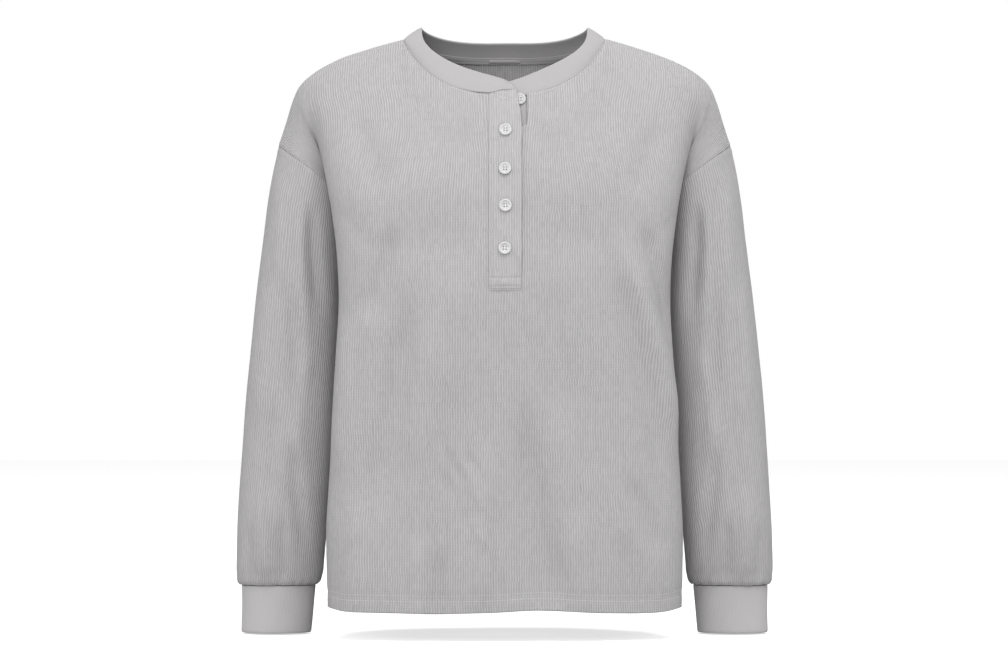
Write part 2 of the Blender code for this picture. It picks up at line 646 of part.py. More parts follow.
def join_armhole(side, front_n, rear_n, sleeve_n):
    """Share normals round the top of the armhole; each piece keeps its own in the valley under the arm."""
    rows = np.arange(UPPER_ROWS + 1)
    front_edge = -1 if side > 0 else 0
    rear_edge = 0 if side > 0 else -1
    top = sleeve_n[0, 0].copy() + front_n[0, front_edge]
    under = share(front_n[UPPER_ROWS, front_edge], rear_n[UPPER_ROWS, rear_edge])
    halves = ((front_n, front_edge, -side, 0.45), (rear_n, rear_edge, side, 0.78))
    for panel_n, edge, turn, valley in halves:
        own = ease((rows / UPPER_ROWS - valley) / 0.22)[:, None]
        ring = (turn * rows) % (2 * UPPER_ROWS)
        panel = panel_n[rows, edge]
        sleeve = sleeve_n[0, ring]
        both = share(panel, sleeve)
        both[0] = top / np.linalg.norm(top)
        panel_n[rows, edge] = share(panel * own, both * (1 - own))
        panel_n[UPPER_ROWS, edge] = under
        sleeve_n[0, ring] = share(sleeve * own, both * (1 - own))


def build_cuffs():
    """Two plain rib cuffs."""
    for side, name in ((-1, "cuff_left"), (1, "cuff_right")):
        grid = cuff_grid(side)
        wall(name, grid, grid_normals(grid, closed=True), CUFF_WALL, SMOOTH_GREY, closed=True)


def build_neckband():
    """The folded band, open at the centre front, where its ends lap."""
    grid = neckband_grid()
    normals = grid_normals(grid)
    pull_back(grid, "bottom")
    wall("neckband", grid, normals, BAND_CLOTH, SMOOTH_GREY)


def build_placket():
    """The upper strip, on the front, and the under strip behind the notch."""
    levels = np.linspace(-NECK_DROP_FRONT, PLACKET_FOOT_Z, 12)
    over = strip_grid(PLACKET_LEFT, over_right, OVER_TOP, levels, OVER_LIFT + OVER_CLOTH)
    wall("placket_over", over, grid_normals(over), OVER_CLOTH, FABRIC_GREY)
    under = strip_grid(UNDER_LEFT, under_right, UNDER_TOP, levels + UNDER_SHORTER, -UNDER_DEPTH)
    wall("placket_under", under, grid_normals(under), UNDER_CLOTH, SMOOTH_GREY)


def button_mesh(name):
    """A turned button: flat back, rounded edge, raised rim and a shallow well."""
    angle = 2 * math.pi * np.arange(BUTTON_SIDES) / BUTTON_SIDES
    rings = [np.stack((r * np.cos(angle), r * np.sin(angle), np.full(BUTTON_SIDES, h)), axis=1)
             for r, h in BUTTON_PROFILE]
    points = np.concatenate(rings)
    faces = [list(range(BUTTON_SIDES))[::-1]]
    for ring in range(len(BUTTON_PROFILE) - 1):
        start = ring * BUTTON_SIDES
        for k in range(BUTTON_SIDES):
            after = (k + 1) % BUTTON_SIDES
            faces.append((start + k, start + after, start + BUTTON_SIDES + after, start + BUTTON_SIDES + k))
    last = (len(BUTTON_PROFILE) - 1) * BUTTON_SIDES
    faces.append([last + k for k in range(BUTTON_SIDES)])
    return add_object(name, points.tolist(), faces, BUTTON_GREY, roughness=0.4)


def place_on_front(thing, x, z, lift):
    """Stand a button on the front, its axis along the cloth's normal."""
    column = np.array([[x, x + 0.004], [x, x + 0.004]]) / COLUMN_STEP
    level = np.array([[z + 0.002, z + 0.002], [z - 0.002, z - 0.002]])
    point = np.moveaxis(body_point(column, row_at(column, level, False), False), 0, 2)
    normal = grid_normals(point)[0, 0]
    spot = point[:, 0].mean(axis=0) + normal * lift
    tilt = math.atan2(normal[2], -normal[1])
    thing.rotation_euler = (math.pi / 2 - tilt, 0, 0)
    thing.location = spot


def build_buttons():
    """The top button is loose on the under strip; the others are fastened on the upper strip."""
    loose = button_mesh("button_1")
    place_on_front(loose, LOOSE_BUTTON_X, LOOSE_BUTTON_Z, -UNDER_DEPTH + SEAM_GAP)
    for number, z in enumerate(FASTENED_BUTTON_Z, start=2):
        button = button_mesh("button_%d" % number)
        place_on_front(button, FASTENED_BUTTON_X, z, OVER_LIFT + OVER_CLOTH + SEAM_GAP)


def tape_grid(panel, normals, half_width, top, foot, lift, count):
    """A strip inside the back neck: the panel's own top faces, narrowed, lowered and moved inwards."""
    columns = panel_columns()
    at = np.linspace(half_width, -half_width, count)
    inner = panel - normals * (CLOTH + lift)
    first, second = (np.stack([np.interp(at, columns, row[::-1, axis]) for axis in range(3)], axis=1)
                     for row in inner[:2])
    fall = np.linalg.norm(second - first, axis=1)[:, None]
    return np.array([first + (second - first) * depth / fall for depth in (top, (top + foot) / 2, foot)])


def build_tape(panel, normals):
    """The tape on the inside of the back neck, and the loop stitched on it."""
    tape = tape_grid(panel, normals, TAPE_COLUMN, TAPE_TOP, TAPE_TOP + TAPE_HEIGHT, TAPE_LIFT, 13)
    wall("neck_tape", tape, grid_normals(tape), TAPE_CLOTH, SMOOTH_GREY)
    lift = TAPE_LIFT + TAPE_CLOTH + SEAM_GAP
    half = LOOP_HALF_WIDTH / COLUMN_STEP
    loop = tape_grid(panel, normals, half, LOOP_TOP, LOOP_TOP + LOOP_HEIGHT, lift, 5)
    wall("hanger_loop", loop, grid_normals(loop), TAPE_CLOTH, SMOOTH_GREY)


def main():
    """Clear the file, then make every piece."""
    for thing in list(bpy.data.objects):
        bpy.data.objects.remove(thing)
    back, back_normals = build_body()
    build_cuffs()
    build_neckband()
    build_placket()
    build_buttons()
    build_tape(back, back_normals)


main()
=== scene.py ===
import math

import bpy
import numpy as np
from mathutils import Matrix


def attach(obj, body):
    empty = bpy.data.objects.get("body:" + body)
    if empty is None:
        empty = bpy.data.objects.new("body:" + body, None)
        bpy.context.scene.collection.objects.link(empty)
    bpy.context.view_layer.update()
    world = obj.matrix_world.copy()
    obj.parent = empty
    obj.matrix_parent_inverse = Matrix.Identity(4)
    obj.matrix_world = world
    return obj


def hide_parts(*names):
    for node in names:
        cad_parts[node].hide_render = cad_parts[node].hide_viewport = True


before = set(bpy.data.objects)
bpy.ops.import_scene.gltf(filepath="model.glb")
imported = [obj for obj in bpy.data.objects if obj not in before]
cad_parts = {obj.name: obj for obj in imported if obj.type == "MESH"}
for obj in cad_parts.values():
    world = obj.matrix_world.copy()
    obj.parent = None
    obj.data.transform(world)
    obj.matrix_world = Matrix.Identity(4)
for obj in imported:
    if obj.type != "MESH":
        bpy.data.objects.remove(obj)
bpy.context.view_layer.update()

# ---- sizes, metres --------------------------------------------------------------------------------------

CLOTH = 0.0016
HEM_CLOTH = 0.0030
HEM_DEPTH = 0.0200
NECK_HALF_WIDTH = 0.114
NECK_Y = -0.004
NECK_FRONT = 0.089
NECK_BACK = 0.079
NECK_DROP_FRONT = 0.065
NECK_DROP_BACK = 0.018
UNDERARM_Z = -0.190
HEM_Z = -0.636
CREASE_TOP_X = 0.214
CHEST_WIDTH = 0.200
ARMHOLE_TOP_Y = 0.014
SHOULDER_COLUMN = 0.5        # columns: 0 the centre line, 0.5 the neck point, 1 the chest's edge, 2 the side
EDGE_COLUMN = 1.0
SIDE_COLUMN = 2.0
COLUMN_STEP = 0.228          # metres of width for each unit of column, near the centre
STRAIGHT_WIDTH = 0.030
ARMHOLE_BOW = 0.24           # share of the armhole's fall that is kept for its lowest part
SECTION_POWER = 2.6          # superellipse exponent of the body's level sections
REAR_INSET = 0.014           # how far the arm presses the body in behind its front edge
REAR_CORNER = 0.152          # half width at which the rear section turns towards the side seam
CUFF_MIDDLE_Y = 0.005        # the sleeve's middle line, where it meets the cuff
CUFF_CLOTH = 0.0022

BAND_HALF_WIDTH = 0.0945     # the neckband's folded top edge
BAND_HALF_DEPTH = 0.070
BAND_MIDDLE_Y = -0.008
BAND_TOP_Z = 0.0135
BAND_DROP_BACK = 0.0135
BAND_DROP_FRONT = 0.0641
BAND_CLOTH = 0.0023
BAND_CROWN = 0.0008
SEAM_CLIMB = 0.0052          # how far the band's seam climbs over the upper strip towards its free edge
CLIMB_WIDTH = 0.0170         # the climb starts this far left of the centre line
LAP_COLUMN = 0.26            # the band's ends part from the panel inside this column
LAP_FADE = 0.19
BAND_LEAN = 0.0090           # slant of the band's upper end
BAND_SAG = 0.0028
UNDER_DEPTH = 0.0034
OVER_LIFT = 0.0003
OVER_CLOTH = 0.0018
UNDER_CLOTH = 0.0014
PLACKET_LEFT = -0.0174
PLACKET_RIGHT = 0.0186
PLACKET_SLANT = 0.0056
PLACKET_SLANT_FOOT_Z = -0.101
PLACKET_SLANT_RUN = 0.037
UNDER_LEFT = -0.0150
UNDER_RIGHT = 0.0270
UNDER_FOOT_Z = -0.2790
FLAT_EDGE = 0.35             # thickness of the upper strip at its sewn edge, as a share
FLAT_EDGE_WIDTH = 0.005
PLACKET_FOOT_Z = -0.2830
NOTCH_LEFT_COLUMN = 0.0150 / COLUMN_STEP
NOTCH_TOP_COLUMN = 0.0250 / COLUMN_STEP
NOTCH_TOP_FOOT_Z = -0.105
NOTCH_FOOT_Z = -0.2750
BOX_TOP_Z = -0.2695          # rows of stitching that close the placket's foot
BOX_MIDDLE_Z = -0.2790
BOX_FOOT_Z = -0.2820

RIB_PITCH = 0.0028           # waffle: upright ribs and the weaker courses across them
COURSE_PITCH = 0.0030
FINE_RIB = 0.0016            # smooth rib of the neckband and cuffs
TINT = 0.011

FOLD_DEPTH = 1.7
RIM_ROUND = 0.22             # how far a cut edge is rounded out, as a share of the cloth's thickness
SEAM_BACK = 0.0002           # how far the edge of each piece is drawn back from its seam line

CAMERA_Z = -0.333
CAMERA_DISTANCE = 5.0
VIEW_WIDTH = 1.134           # metres across the picture at the shirt's middle
FLOOR_Z = -0.668

ROOM_LIGHT = 0.60
LAMPS = {                    # place, size in metres and watts
    "key": ((0.9, -2.1, 3.2), 1.8, 72.0),
    "fill": ((-0.6, -3.6, 0.5), 1.8, 58.0),
    "left": ((-3.4, -1.0, 1.0), 1.6, 24.0),
    "right": ((3.4, -1.0, 1.0), 1.6, 17.0),
    "back": ((0.5, 2.4, 2.8), 1.8, 40.0),
}
FLOOR_GLOW = 0.70

FASTENED_BUTTONS = {"button_2": (0.0010, -0.107), "button_3": (0.0005, -0.150),
                    "button_4": (0.0010, -0.190), "button_5": (0.0003, -0.237)}
LOOSE_BUTTON = (0.0167, -0.0705)
BUTTONHOLE = {"x": -0.0005, "z": -0.0675, "half_width": 0.0062, "half_height": 0.0030}
HOLE_REACH = 0.00145         # the button's four holes, across and up from its middle
HOLE_RADIUS = 0.00085
TAPE_CLOTH = 0.0009
HEM_ROWS = (0.0125, 0.0188)  # the hem's twin rows of stitching, above its edge


def table(names, rows):
    """Named columns of a short table."""
    values = np.array(rows, float)
    return {name: values[:, place] for place, name in enumerate(names.split())}


SHOULDER = table("along x z", (
    (0.50, 0.114, 0.000),
    (0.60, 0.134, -0.0055),
    (0.80, 0.175, -0.018),
    (1.00, 0.214, -0.034),
    (1.20, 0.2290, -0.0485),
    (1.45, 0.2385, -0.0680),
    (1.70, 0.2460, -0.0920),
    (2.00, 0.2546, -0.1195),
))

BODY = table("z edge edge_y front back", (
    (-0.190, 0.1935, -0.068, 0.130, 0.107),
    (-0.230, 0.1890, -0.069, 0.134, 0.110),
    (-0.290, 0.1855, -0.070, 0.137, 0.111),
    (-0.350, 0.1875, -0.070, 0.136, 0.108),
    (-0.420, 0.1915, -0.070, 0.135, 0.109),
    (-0.500, 0.1960, -0.070, 0.136, 0.114),
    (-0.560, 0.1990, -0.070, 0.138, 0.119),
    (-0.640, 0.1975, -0.070, 0.141, 0.125),
))

CHEST_EDGE = table("z front back", (
    (-0.034, 0.2140, 0.2140),
    (-0.064, 0.2180, 0.2110),
    (-0.101, 0.2090, 0.2010),
    (-0.151, 0.2000, 0.1800),
    (-0.190, 0.1935, 0.1520),
))

SLEEVE = table("along outer_z outer_x inner_z inner_x front back seam", (
    (0, -0.1195, 0.2546, -0.190, 0.1780, -0.050, 0.082, 1.0),
    (1, -0.150, 0.2610, -0.206, 0.1815, -0.049, 0.082, 0.7),
    (2, -0.185, 0.2668, -0.226, 0.1835, -0.047, 0.080, 0.4),
    (3, -0.225, 0.2718, -0.252, 0.1845, -0.045, 0.078, 0.15),
    (4, -0.275, 0.2780, -0.286, 0.1850, -0.043, 0.076, 0.0),
    (5, -0.335, 0.2845, -0.338, 0.1875, -0.041, 0.074, 0.0),
    (6, -0.400, 0.2910, -0.400, 0.1910, -0.040, 0.070, 0.0),
    (7, -0.470, 0.2960, -0.470, 0.1945, -0.040, 0.063, 0.0),
    (8, -0.540, 0.3005, -0.540, 0.1995, -0.040, 0.056, 0.0),
    (9, -0.585, 0.3018, -0.585, 0.2030, -0.0348, 0.0490, 0.0),
    (10, -0.6000, 0.3014, -0.6000, 0.2044, -0.0318, 0.0462, 0.0),
    (10.6, -0.6088, 0.3000, -0.6088, 0.2072, -0.0298, 0.0430, 0.0),
    (11, -0.6123, 0.2974, -0.6123, 0.2110, -0.0276, 0.0376, 0.0),
))

CUFF = table("z outer inner front back", (
    (-0.6129, 0.2962, 0.2122, -0.0265, 0.0365),
    (-0.6400, 0.2958, 0.2150, -0.0250, 0.0350),
    (-0.6660, 0.2965, 0.2175, -0.0250, 0.0345),
))

# Folds of the cloth, seen from the piece's own side: the two ends of each fold's line, how far its middle
# bows aside, its half width and its height, where minus is a trough
FRONT_FOLDS = table("x0 z0 x1 z1 bow width height", (
    (-0.122, -0.205, -0.150, -0.312, 0.003, 0.013, -0.0042),
    (-0.106, -0.262, -0.142, -0.520, 0.006, 0.017, -0.0050),
    (-0.084, -0.300, -0.100, -0.470, 0.000, 0.018, 0.0028),
    (-0.176, -0.300, -0.182, -0.480, 0.000, 0.013, 0.0022),
    (0.120, -0.205, 0.192, -0.450, 0.006, 0.012, 0.0046),
    (0.148, -0.198, 0.186, -0.330, 0.004, 0.009, -0.0042),
    (0.104, -0.212, 0.180, -0.510, 0.008, 0.014, -0.0040),
    (0.020, -0.380, 0.060, -0.645, -0.008, 0.019, -0.0060),
    (-0.018, -0.430, -0.028, -0.640, 0.000, 0.015, 0.0040),
    (0.078, -0.520, 0.084, -0.650, 0.000, 0.016, 0.0036),
    (-0.070, -0.560, -0.074, -0.650, 0.000, 0.009, -0.0030),
    (-0.094, -0.545, -0.096, -0.650, 0.000, 0.010, 0.0026),
    (0.132, -0.480, 0.172, -0.568, 0.000, 0.010, -0.0026),
    (0.128, -0.540, 0.150, -0.650, 0.000, 0.011, -0.0024),
    (-0.160, -0.500, -0.172, -0.650, 0.000, 0.012, 0.0024),
    (-0.078, -0.428, -0.040, -0.500, 0.000, 0.0055, -0.0013),
    (-0.066, -0.440, -0.026, -0.518, 0.000, 0.0050, 0.0012),
    (-0.080, -0.466, -0.032, -0.548, 0.000, 0.0060, -0.0012),
    (-0.060, -0.500, -0.022, -0.560, 0.000, 0.0050, 0.0011),
    (-0.046, -0.452, -0.016, -0.500, 0.000, 0.0045, -0.0009),
    (-0.196, -0.188, -0.140, -0.244, 0.004, 0.011, -0.0007),
    (0.194, -0.190, 0.150, -0.240, 0.004, 0.011, -0.0008),
    (-0.172, -0.080, -0.138, -0.170, 0.003, 0.014, -0.0022),
    (0.176, -0.086, 0.140, -0.176, 0.003, 0.014, -0.0022),
    (0.040, -0.250, 0.064, -0.420, 0.004, 0.018, -0.0026),
    (-0.050, -0.240, -0.060, -0.400, 0.000, 0.018, 0.0022),
    (-0.034, -0.085, -0.052, -0.112, 0.000, 0.006, 0.0012),
    (0.040, -0.085, 0.056, -0.112, 0.000, 0.006, 0.0010),
))
BACK_FOLDS = table("x0 z0 x1 z1 bow width height", (
    (-0.115, -0.190, -0.060, -0.430, 0.010, 0.017, -0.0046),
    (0.120, -0.180, 0.072, -0.390, 0.008, 0.015, -0.0046),
    (-0.020, -0.400, -0.040, -0.645, 0.006, 0.018, -0.0056),
    (0.056, -0.430, 0.076, -0.645, 0.004, 0.019, 0.0046),
    (0.012, -0.470, 0.018, -0.645, 0.000, 0.014, 0.0034),
    (-0.100, -0.430, -0.128, -0.645, 0.004, 0.014, 0.0038),
    (0.120, -0.400, 0.142, -0.645, 0.003, 0.013, -0.0036),
    (-0.150, -0.110, -0.082, -0.200, 0.006, 0.012, -0.0030),
    (0.152, -0.120, 0.092, -0.214, 0.006, 0.011, -0.0028),
    (-0.158, -0.150, -0.110, -0.236, 0.004, 0.009, 0.0022),
    (0.154, -0.160, 0.116, -0.240, 0.004, 0.009, 0.0022),
    (0.010, -0.080, 0.034, -0.250, 0.003, 0.024, -0.0024),
    (-0.052, -0.300, -0.016, -0.400, 0.004, 0.010, 0.0018),
    (-0.140, -0.560, -0.150, -0.645, 0.000, 0.010, -0.0024),
    (0.030, -0.330, 0.060, -0.396, 0.000, 0.008, -0.0014),
))
SLEEVE_FRONT_FOLDS = table("x0 z0 x1 z1 bow width height", (
    (0.214, -0.178, 0.206, -0.300, 0.003, 0.008, -0.0034),
    (0.226, -0.170, 0.222, -0.330, 0.002, 0.008, 0.0022),
    (0.248, -0.150, 0.250, -0.270, 0.002, 0.010, 0.0018),
    (0.238, -0.270, 0.226, -0.420, 0.003, 0.009, -0.0024),
    (0.216, -0.330, 0.232, -0.470, 0.003, 0.010, 0.0022),
    (0.264, -0.260, 0.272, -0.420, 0.003, 0.011, 0.0016),
    (0.256, -0.400, 0.262, -0.520, 0.002, 0.009, -0.0016),
    (0.236, -0.440, 0.222, -0.570, 0.003, 0.009, -0.0024),
    (0.268, -0.490, 0.272, -0.604, 0.002, 0.010, 0.0018),
    (0.248, -0.530, 0.246, -0.606, 0.001, 0.007, -0.0018),
    (0.286, -0.540, 0.284, -0.606, 0.000, 0.006, -0.0014),
))
SLEEVE_BACK_FOLDS = table("x0 z0 x1 z1 bow width height", (
    (0.206, -0.200, 0.246, -0.300, 0.004, 0.011, -0.0032),
    (0.214, -0.245, 0.262, -0.340, 0.004, 0.009, 0.0026),
    (0.208, -0.330, 0.270, -0.376, 0.004, 0.011, -0.0021),
    (0.208, -0.366, 0.262, -0.412, 0.004, 0.011, 0.0016),
    (0.212, -0.404, 0.274, -0.446, 0.004, 0.011, -0.0019),
    (0.216, -0.450, 0.262, -0.480, 0.003, 0.010, 0.0020),
    (0.230, -0.480, 0.262, -0.596, 0.003, 0.011, 0.0024),
    (0.256, -0.150, 0.244, -0.260, 0.002, 0.011, 0.0022),
    (0.248, -0.540, 0.240, -0.606, 0.000, 0.007, -0.0020),
))
# The fullness over the bust and the slack below it: centre, half width, half height and height
FRONT_FULLNESS = table("x z width tall height", (
    (-0.086, -0.168, 0.050, 0.042, 0.0042),
    (0.086, -0.164, 0.050, 0.042, 0.0042),
    (-0.084, -0.230, 0.050, 0.020, -0.0020),
    (0.084, -0.228, 0.050, 0.020, -0.0020),
))

# How the hem hangs: places along the front and back where its edge rises or dips
HEM_WAVES = {False: table("x width lift", ((-0.080, 0.030, -0.0008), (0.038, 0.042, 0.0034),
                                           (0.150, 0.030, -0.0006), (-0.198, 0.016, 0.0030),
                                           (0.198, 0.016, 0.0030))),
             True: table("x width lift", ((-0.060, 0.035, 0.0010), (0.070, 0.040, -0.0006)))}

# The turned button, from the middle of its back over the rim into the well
BUTTON_PROFILE = table("radius height", (
    (0.0030, 0.0000),
    (0.0050, 0.0002),
    (0.0061, 0.0006),
    (0.0067, 0.0012),
    (0.0070, 0.0018),
    (0.0069, 0.0023),
    (0.0064, 0.0028),
    (0.0058, 0.0030),
    (0.0052, 0.0028),
    (0.0046, 0.0021),
    (0.0040, 0.0016),
    (0.0030, 0.0014),
))


# ---- arithmetic on whole arrays -------------------------------------------------------------------------

def smooth(rows, across, column, at):
    """Cubic through a table's rows, with each row's slope taken from its two neighbours."""
    order = np.argsort(rows[across])
    place = rows[across][order]
    value = rows[column][order]
    slope = np.gradient(value, place)
    at = np.clip(at, place[0], place[-1])
    row = np.clip(np.searchsorted(place, at) - 1, 0, len(place) - 2)
    step = place[row + 1] - place[row]
    t = (at - place[row]) / step
    start = value[row] * (1 + 2 * t) * (1 - t) ** 2 + slope[row] * step * t * (1 - t) ** 2
    end = value[row + 1] * t * t * (3 - 2 * t) - slope[row + 1] * step * t * t * (1 - t)
    return start + end


def ease(t):
    """Smooth step from 0 to 1."""
    t = np.clip(t, 0.0, 1.0)
    return t * t * (3 - 2 * t)


def power(value, exponent):
    """A power that treats rounding errors below zero as zero."""
    return np.maximum(value, 0.0) ** exponent


def bell(distance, width):
    """1 at distance 0, falling off as a Gaussian."""
    return np.exp(-(distance / width) ** 2)


def unit(vectors):
    """Vectors of length 1."""
    return vectors / np.maximum(np.linalg.norm(vectors, axis=-1, keepdims=True), 1e-12)


# ---- the form of the body -------------------------------------------------------------------------------

def top_width(column):
    """Half width of the top edge: straight near the centre, then a quarter sine crowding to the neck point,
    then the shoulder table."""
    size = np.abs(column)
    start = STRAIGHT_WIDTH / COLUMN_STEP
    turn = (np.clip(size, start, SHOULDER_COLUMN) - start) / (SHOULDER_COLUMN - start)
    neck = STRAIGHT_WIDTH + (NECK_HALF_WIDTH - STRAIGHT_WIDTH) * np.sin(turn * math.pi / 2)
    inner = np.where(size < start, COLUMN_STEP * size, neck)
    return np.where(size > SHOULDER_COLUMN, smooth(SHOULDER, "along", "x", size), inner)


def low_width(column):
    """Half width at the underarm level: straight to the neck point's column, then a quarter sine."""
    size = np.clip(np.abs(column), 0, EDGE_COLUMN)
    turn = np.sin(math.pi * (np.clip(size, SHOULDER_COLUMN, EDGE_COLUMN) - SHOULDER_COLUMN))
    outer = NECK_HALF_WIDTH + (CHEST_WIDTH - NECK_HALF_WIDTH) * turn
    return np.where(size < SHOULDER_COLUMN, COLUMN_STEP * size, outer)


def top_edge(column, back):
    """Half ellipse of the neckline in plan, dropping as a superellipse, then the shoulder line."""
    size = np.abs(column)
    x = top_width(column)
    ratio = np.clip(x / NECK_HALF_WIDTH, 0, 1)
    if back:
        neck_y = NECK_Y + NECK_BACK * power(1 - ratio ** 2, 0.5)
        neck_z = -NECK_DROP_BACK * power(1 - ratio ** 3, 0.8)
    else:
        neck_y = NECK_Y - NECK_FRONT * power(1 - ratio ** 2, 0.5)
        neck_z = -NECK_DROP_FRONT * power(1 - ratio ** 2.6, 0.8)
    along = ease((x - NECK_HALF_WIDTH) / (SHOULDER["x"][-1] - NECK_HALF_WIDTH))
    ridge_y = NECK_Y + (ARMHOLE_TOP_Y - NECK_Y) * along
    ridge_z = smooth(SHOULDER, "along", "z", size)
    on_neck = size <= SHOULDER_COLUMN
    return x, np.where(on_neck, neck_y, ridge_y), np.where(on_neck, neck_z, ridge_z)


def body_section(column, z, back):
    """Level section: a superellipse before the widest line, and one behind it, pulled in at the arm."""
    size = np.abs(column)
    edge = smooth(BODY, "z", "edge", z)
    edge_y = smooth(BODY, "z", "edge_y", z)
    front = smooth(BODY, "z", "front", z)
    rear = smooth(BODY, "z", "back", z)
    side_y = 0.016 - 0.030 * ease((UNDERARM_Z - z) / 0.25)
    spread = np.sin(np.clip(size, 0, 1) * math.pi / 2) ** 3
    inside = size <= EDGE_COLUMN

    def rear_width(y):
        """Half width of the rear superellipse at a depth, less the arm's pressure."""
        q = np.clip((y - edge_y) / (rear - edge_y), 0, 1)
        widest = edge - REAR_INSET * ease((y - edge_y) / 0.060)
        return widest * power(1 - q ** SECTION_POWER, 1 / SECTION_POWER)

    if back:
        corner = REAR_CORNER + 0.004 * ease((UNDERARM_Z - z) / 0.3)
        corner_q = power(1 - (corner / (edge - REAR_INSET)) ** SECTION_POWER, 1 / SECTION_POWER)
        corner_y = edge_y + (rear - edge_y) * corner_q
        x_in = low_width(column) + (corner - CHEST_WIDTH) * spread
        q_in = power(1 - (x_in / (edge - REAR_INSET)) ** SECTION_POWER, 1 / SECTION_POWER)
        y_in = edge_y + (rear - edge_y) * q_in
        y_out = corner_y + (side_y - corner_y) * (size - 1)
        return np.where(inside, x_in, rear_width(y_out)), np.where(inside, y_in, y_out)
    x_in = low_width(column) + (edge - CHEST_WIDTH) * spread
    q_in = power(1 - np.clip(x_in / edge, 0, 1) ** SECTION_POWER, 1 / SECTION_POWER)
    y_in = edge_y - (front + edge_y) * q_in
    y_out = edge_y + (side_y - edge_y) * (size - 1)
    return np.where(inside, x_in, rear_width(y_out)), np.where(inside, y_in, y_out)


def column_bend(column):
    """How sharply a column rolls over its top edge: 1 below the neckline, 2 over the shoulder."""
    return 1 + ease(np.abs(column) / SHOULDER_COLUMN)


def chest(column, v, back):
    """Columns from the top edge (v = 0) to the underarm level (v = 1). They fall as v to the bend's power and
    come forward as the matching root, so that they roll over the shoulder."""
    column = np.clip(np.abs(column), 0, EDGE_COLUMN)
    top_x, top_y, top_z = top_edge(column, back)
    low_x, low_y = body_section(column, UNDERARM_Z, back)
    bend = column_bend(column)
    fall = v ** bend
    rise = power(1 - (1 - fall) ** 1.45, 1 / bend)
    z = top_z + (UNDERARM_Z - top_z) * fall
    y = top_y + (low_y - top_y) * rise
    settle = ease(v * 1.6)
    x = top_x + (low_x - top_x) * settle
    edge_top_z = smooth(SHOULDER, "along", "z", EDGE_COLUMN)
    edge_z = edge_top_z + (UNDERARM_Z - edge_top_z) * v ** 2
    edge_low = body_section(EDGE_COLUMN, UNDERARM_Z, back)[0]
    edge_plain = CREASE_TOP_X + (edge_low - CREASE_TOP_X) * settle
    edge = smooth(CHEST_EDGE, "z", "back" if back else "front", edge_z)
    x = x + (edge - edge_plain) * np.sin(column * math.pi / 2) ** 6
    return x, y, z


def armhole(angle):
    """The seam of the dropped shoulder: a tilted oval, angle 0 at its top, pi under the arm, front first."""
    outer_x, inner_x = SLEEVE["outer_x"][0], SLEEVE["inner_x"][0]
    outer_z, inner_z = SLEEVE["outer_z"][0], SLEEVE["inner_z"][0]
    down = (1 - np.cos(angle)) / 2
    x = outer_x + (inner_x - outer_x) * down
    z = outer_z + (inner_z - outer_z) * ((1 - ARMHOLE_BOW) * down + ARMHOLE_BOW * down ** 6)
    front, rear = SLEEVE["front"][0], SLEEVE["back"][0]
    reach = np.where(np.sin(angle) > 0, ARMHOLE_TOP_Y - front, rear - ARMHOLE_TOP_Y)
    return x, ARMHOLE_TOP_Y - reach * np.sin(angle), z


def shoulder_cap(column, v, back):
    """Coons patch from the chest's edge to the armhole seam, with the armpit crease sunk beside the edge."""
    c = np.clip(np.abs(column) - EDGE_COLUMN, 0, 1)
    left = np.array(chest(np.full_like(v, EDGE_COLUMN), v, back))
    right = np.array(armhole(-math.pi * v if back else math.pi * v))
    top = np.array(top_edge(EDGE_COLUMN + c, back))
    low_x, low_y = body_section(EDGE_COLUMN + c, UNDERARM_Z, back)
    low = np.array((low_x, low_y, np.full_like(low_x, UNDERARM_Z)))
    corner = [np.array(point)[:, None, None] for point in (
        np.ravel(top_edge(np.array(EDGE_COLUMN), back)),
        np.ravel(top_edge(np.array(SIDE_COLUMN), back)),
        np.ravel([*body_section(np.array(EDGE_COLUMN), UNDERARM_Z, back), UNDERARM_Z]),
        np.ravel(armhole(np.array(math.pi))))]
    side = np.array([*body_section(np.array(SIDE_COLUMN), UNDERARM_Z, back), UNDERARM_Z])[:, None, None]
    low = low + (corner[3] - side) * c
    patch = (1 - v) * top + v * low + (1 - c) * left + c * right
    patch -= (1 - c) * (1 - v) * corner[0] + c * (1 - v) * corner[1]
    patch -= (1 - c) * v * corner[2] + c * v * corner[3]
    sink = 0.007 * bell(c - 0.22, 0.14) * ease((v - 0.35) / 0.35) * ease((1 - v) / 0.2)
    patch[1] += -sink if back else sink
    return patch


def body_point(column, row, back):
    """Any point of the body: rows 0 to 1 run down to the underarm level, larger ones are metres below it."""
    column, row = np.broadcast_arrays(np.asarray(column, float), np.asarray(row, float))
    shape = column.shape
    column = np.atleast_2d(column)
    row = np.atleast_2d(row)
    sign = np.where(column < 0, -1.0, 1.0)
    v = np.clip(row, 0, 1)
    upper = np.array(chest(column, v, back))
    cap = shoulder_cap(column, v, back)
    point = np.where(np.abs(column) > EDGE_COLUMN, cap, upper)
    z = UNDERARM_Z - np.maximum(row - 1, 0)
    low_x, low_y = body_section(column, z, back)
    shift = armhole(np.array(math.pi))[0] - body_section(np.array(SIDE_COLUMN), UNDERARM_Z, back)[0]
    leave = ease(1 - (row - 1) / 0.05) * np.clip(np.abs(column) - 1, 0, 1)
    low = np.array((low_x + shift * leave, low_y, z))
    point = np.where(row > 1, low, point)
    point[0] *= sign
    return point.reshape((3,) + shape)


def row_at(column, z, back):
    """The row at which a column passes a level."""
    top_z = top_edge(column, back)[2]
    fall = np.clip((top_z - z) / (top_z - UNDERARM_Z), 0, 1)
    return np.where(z < UNDERARM_Z, 1 + UNDERARM_Z - z, fall ** (1 / column_bend(column)))


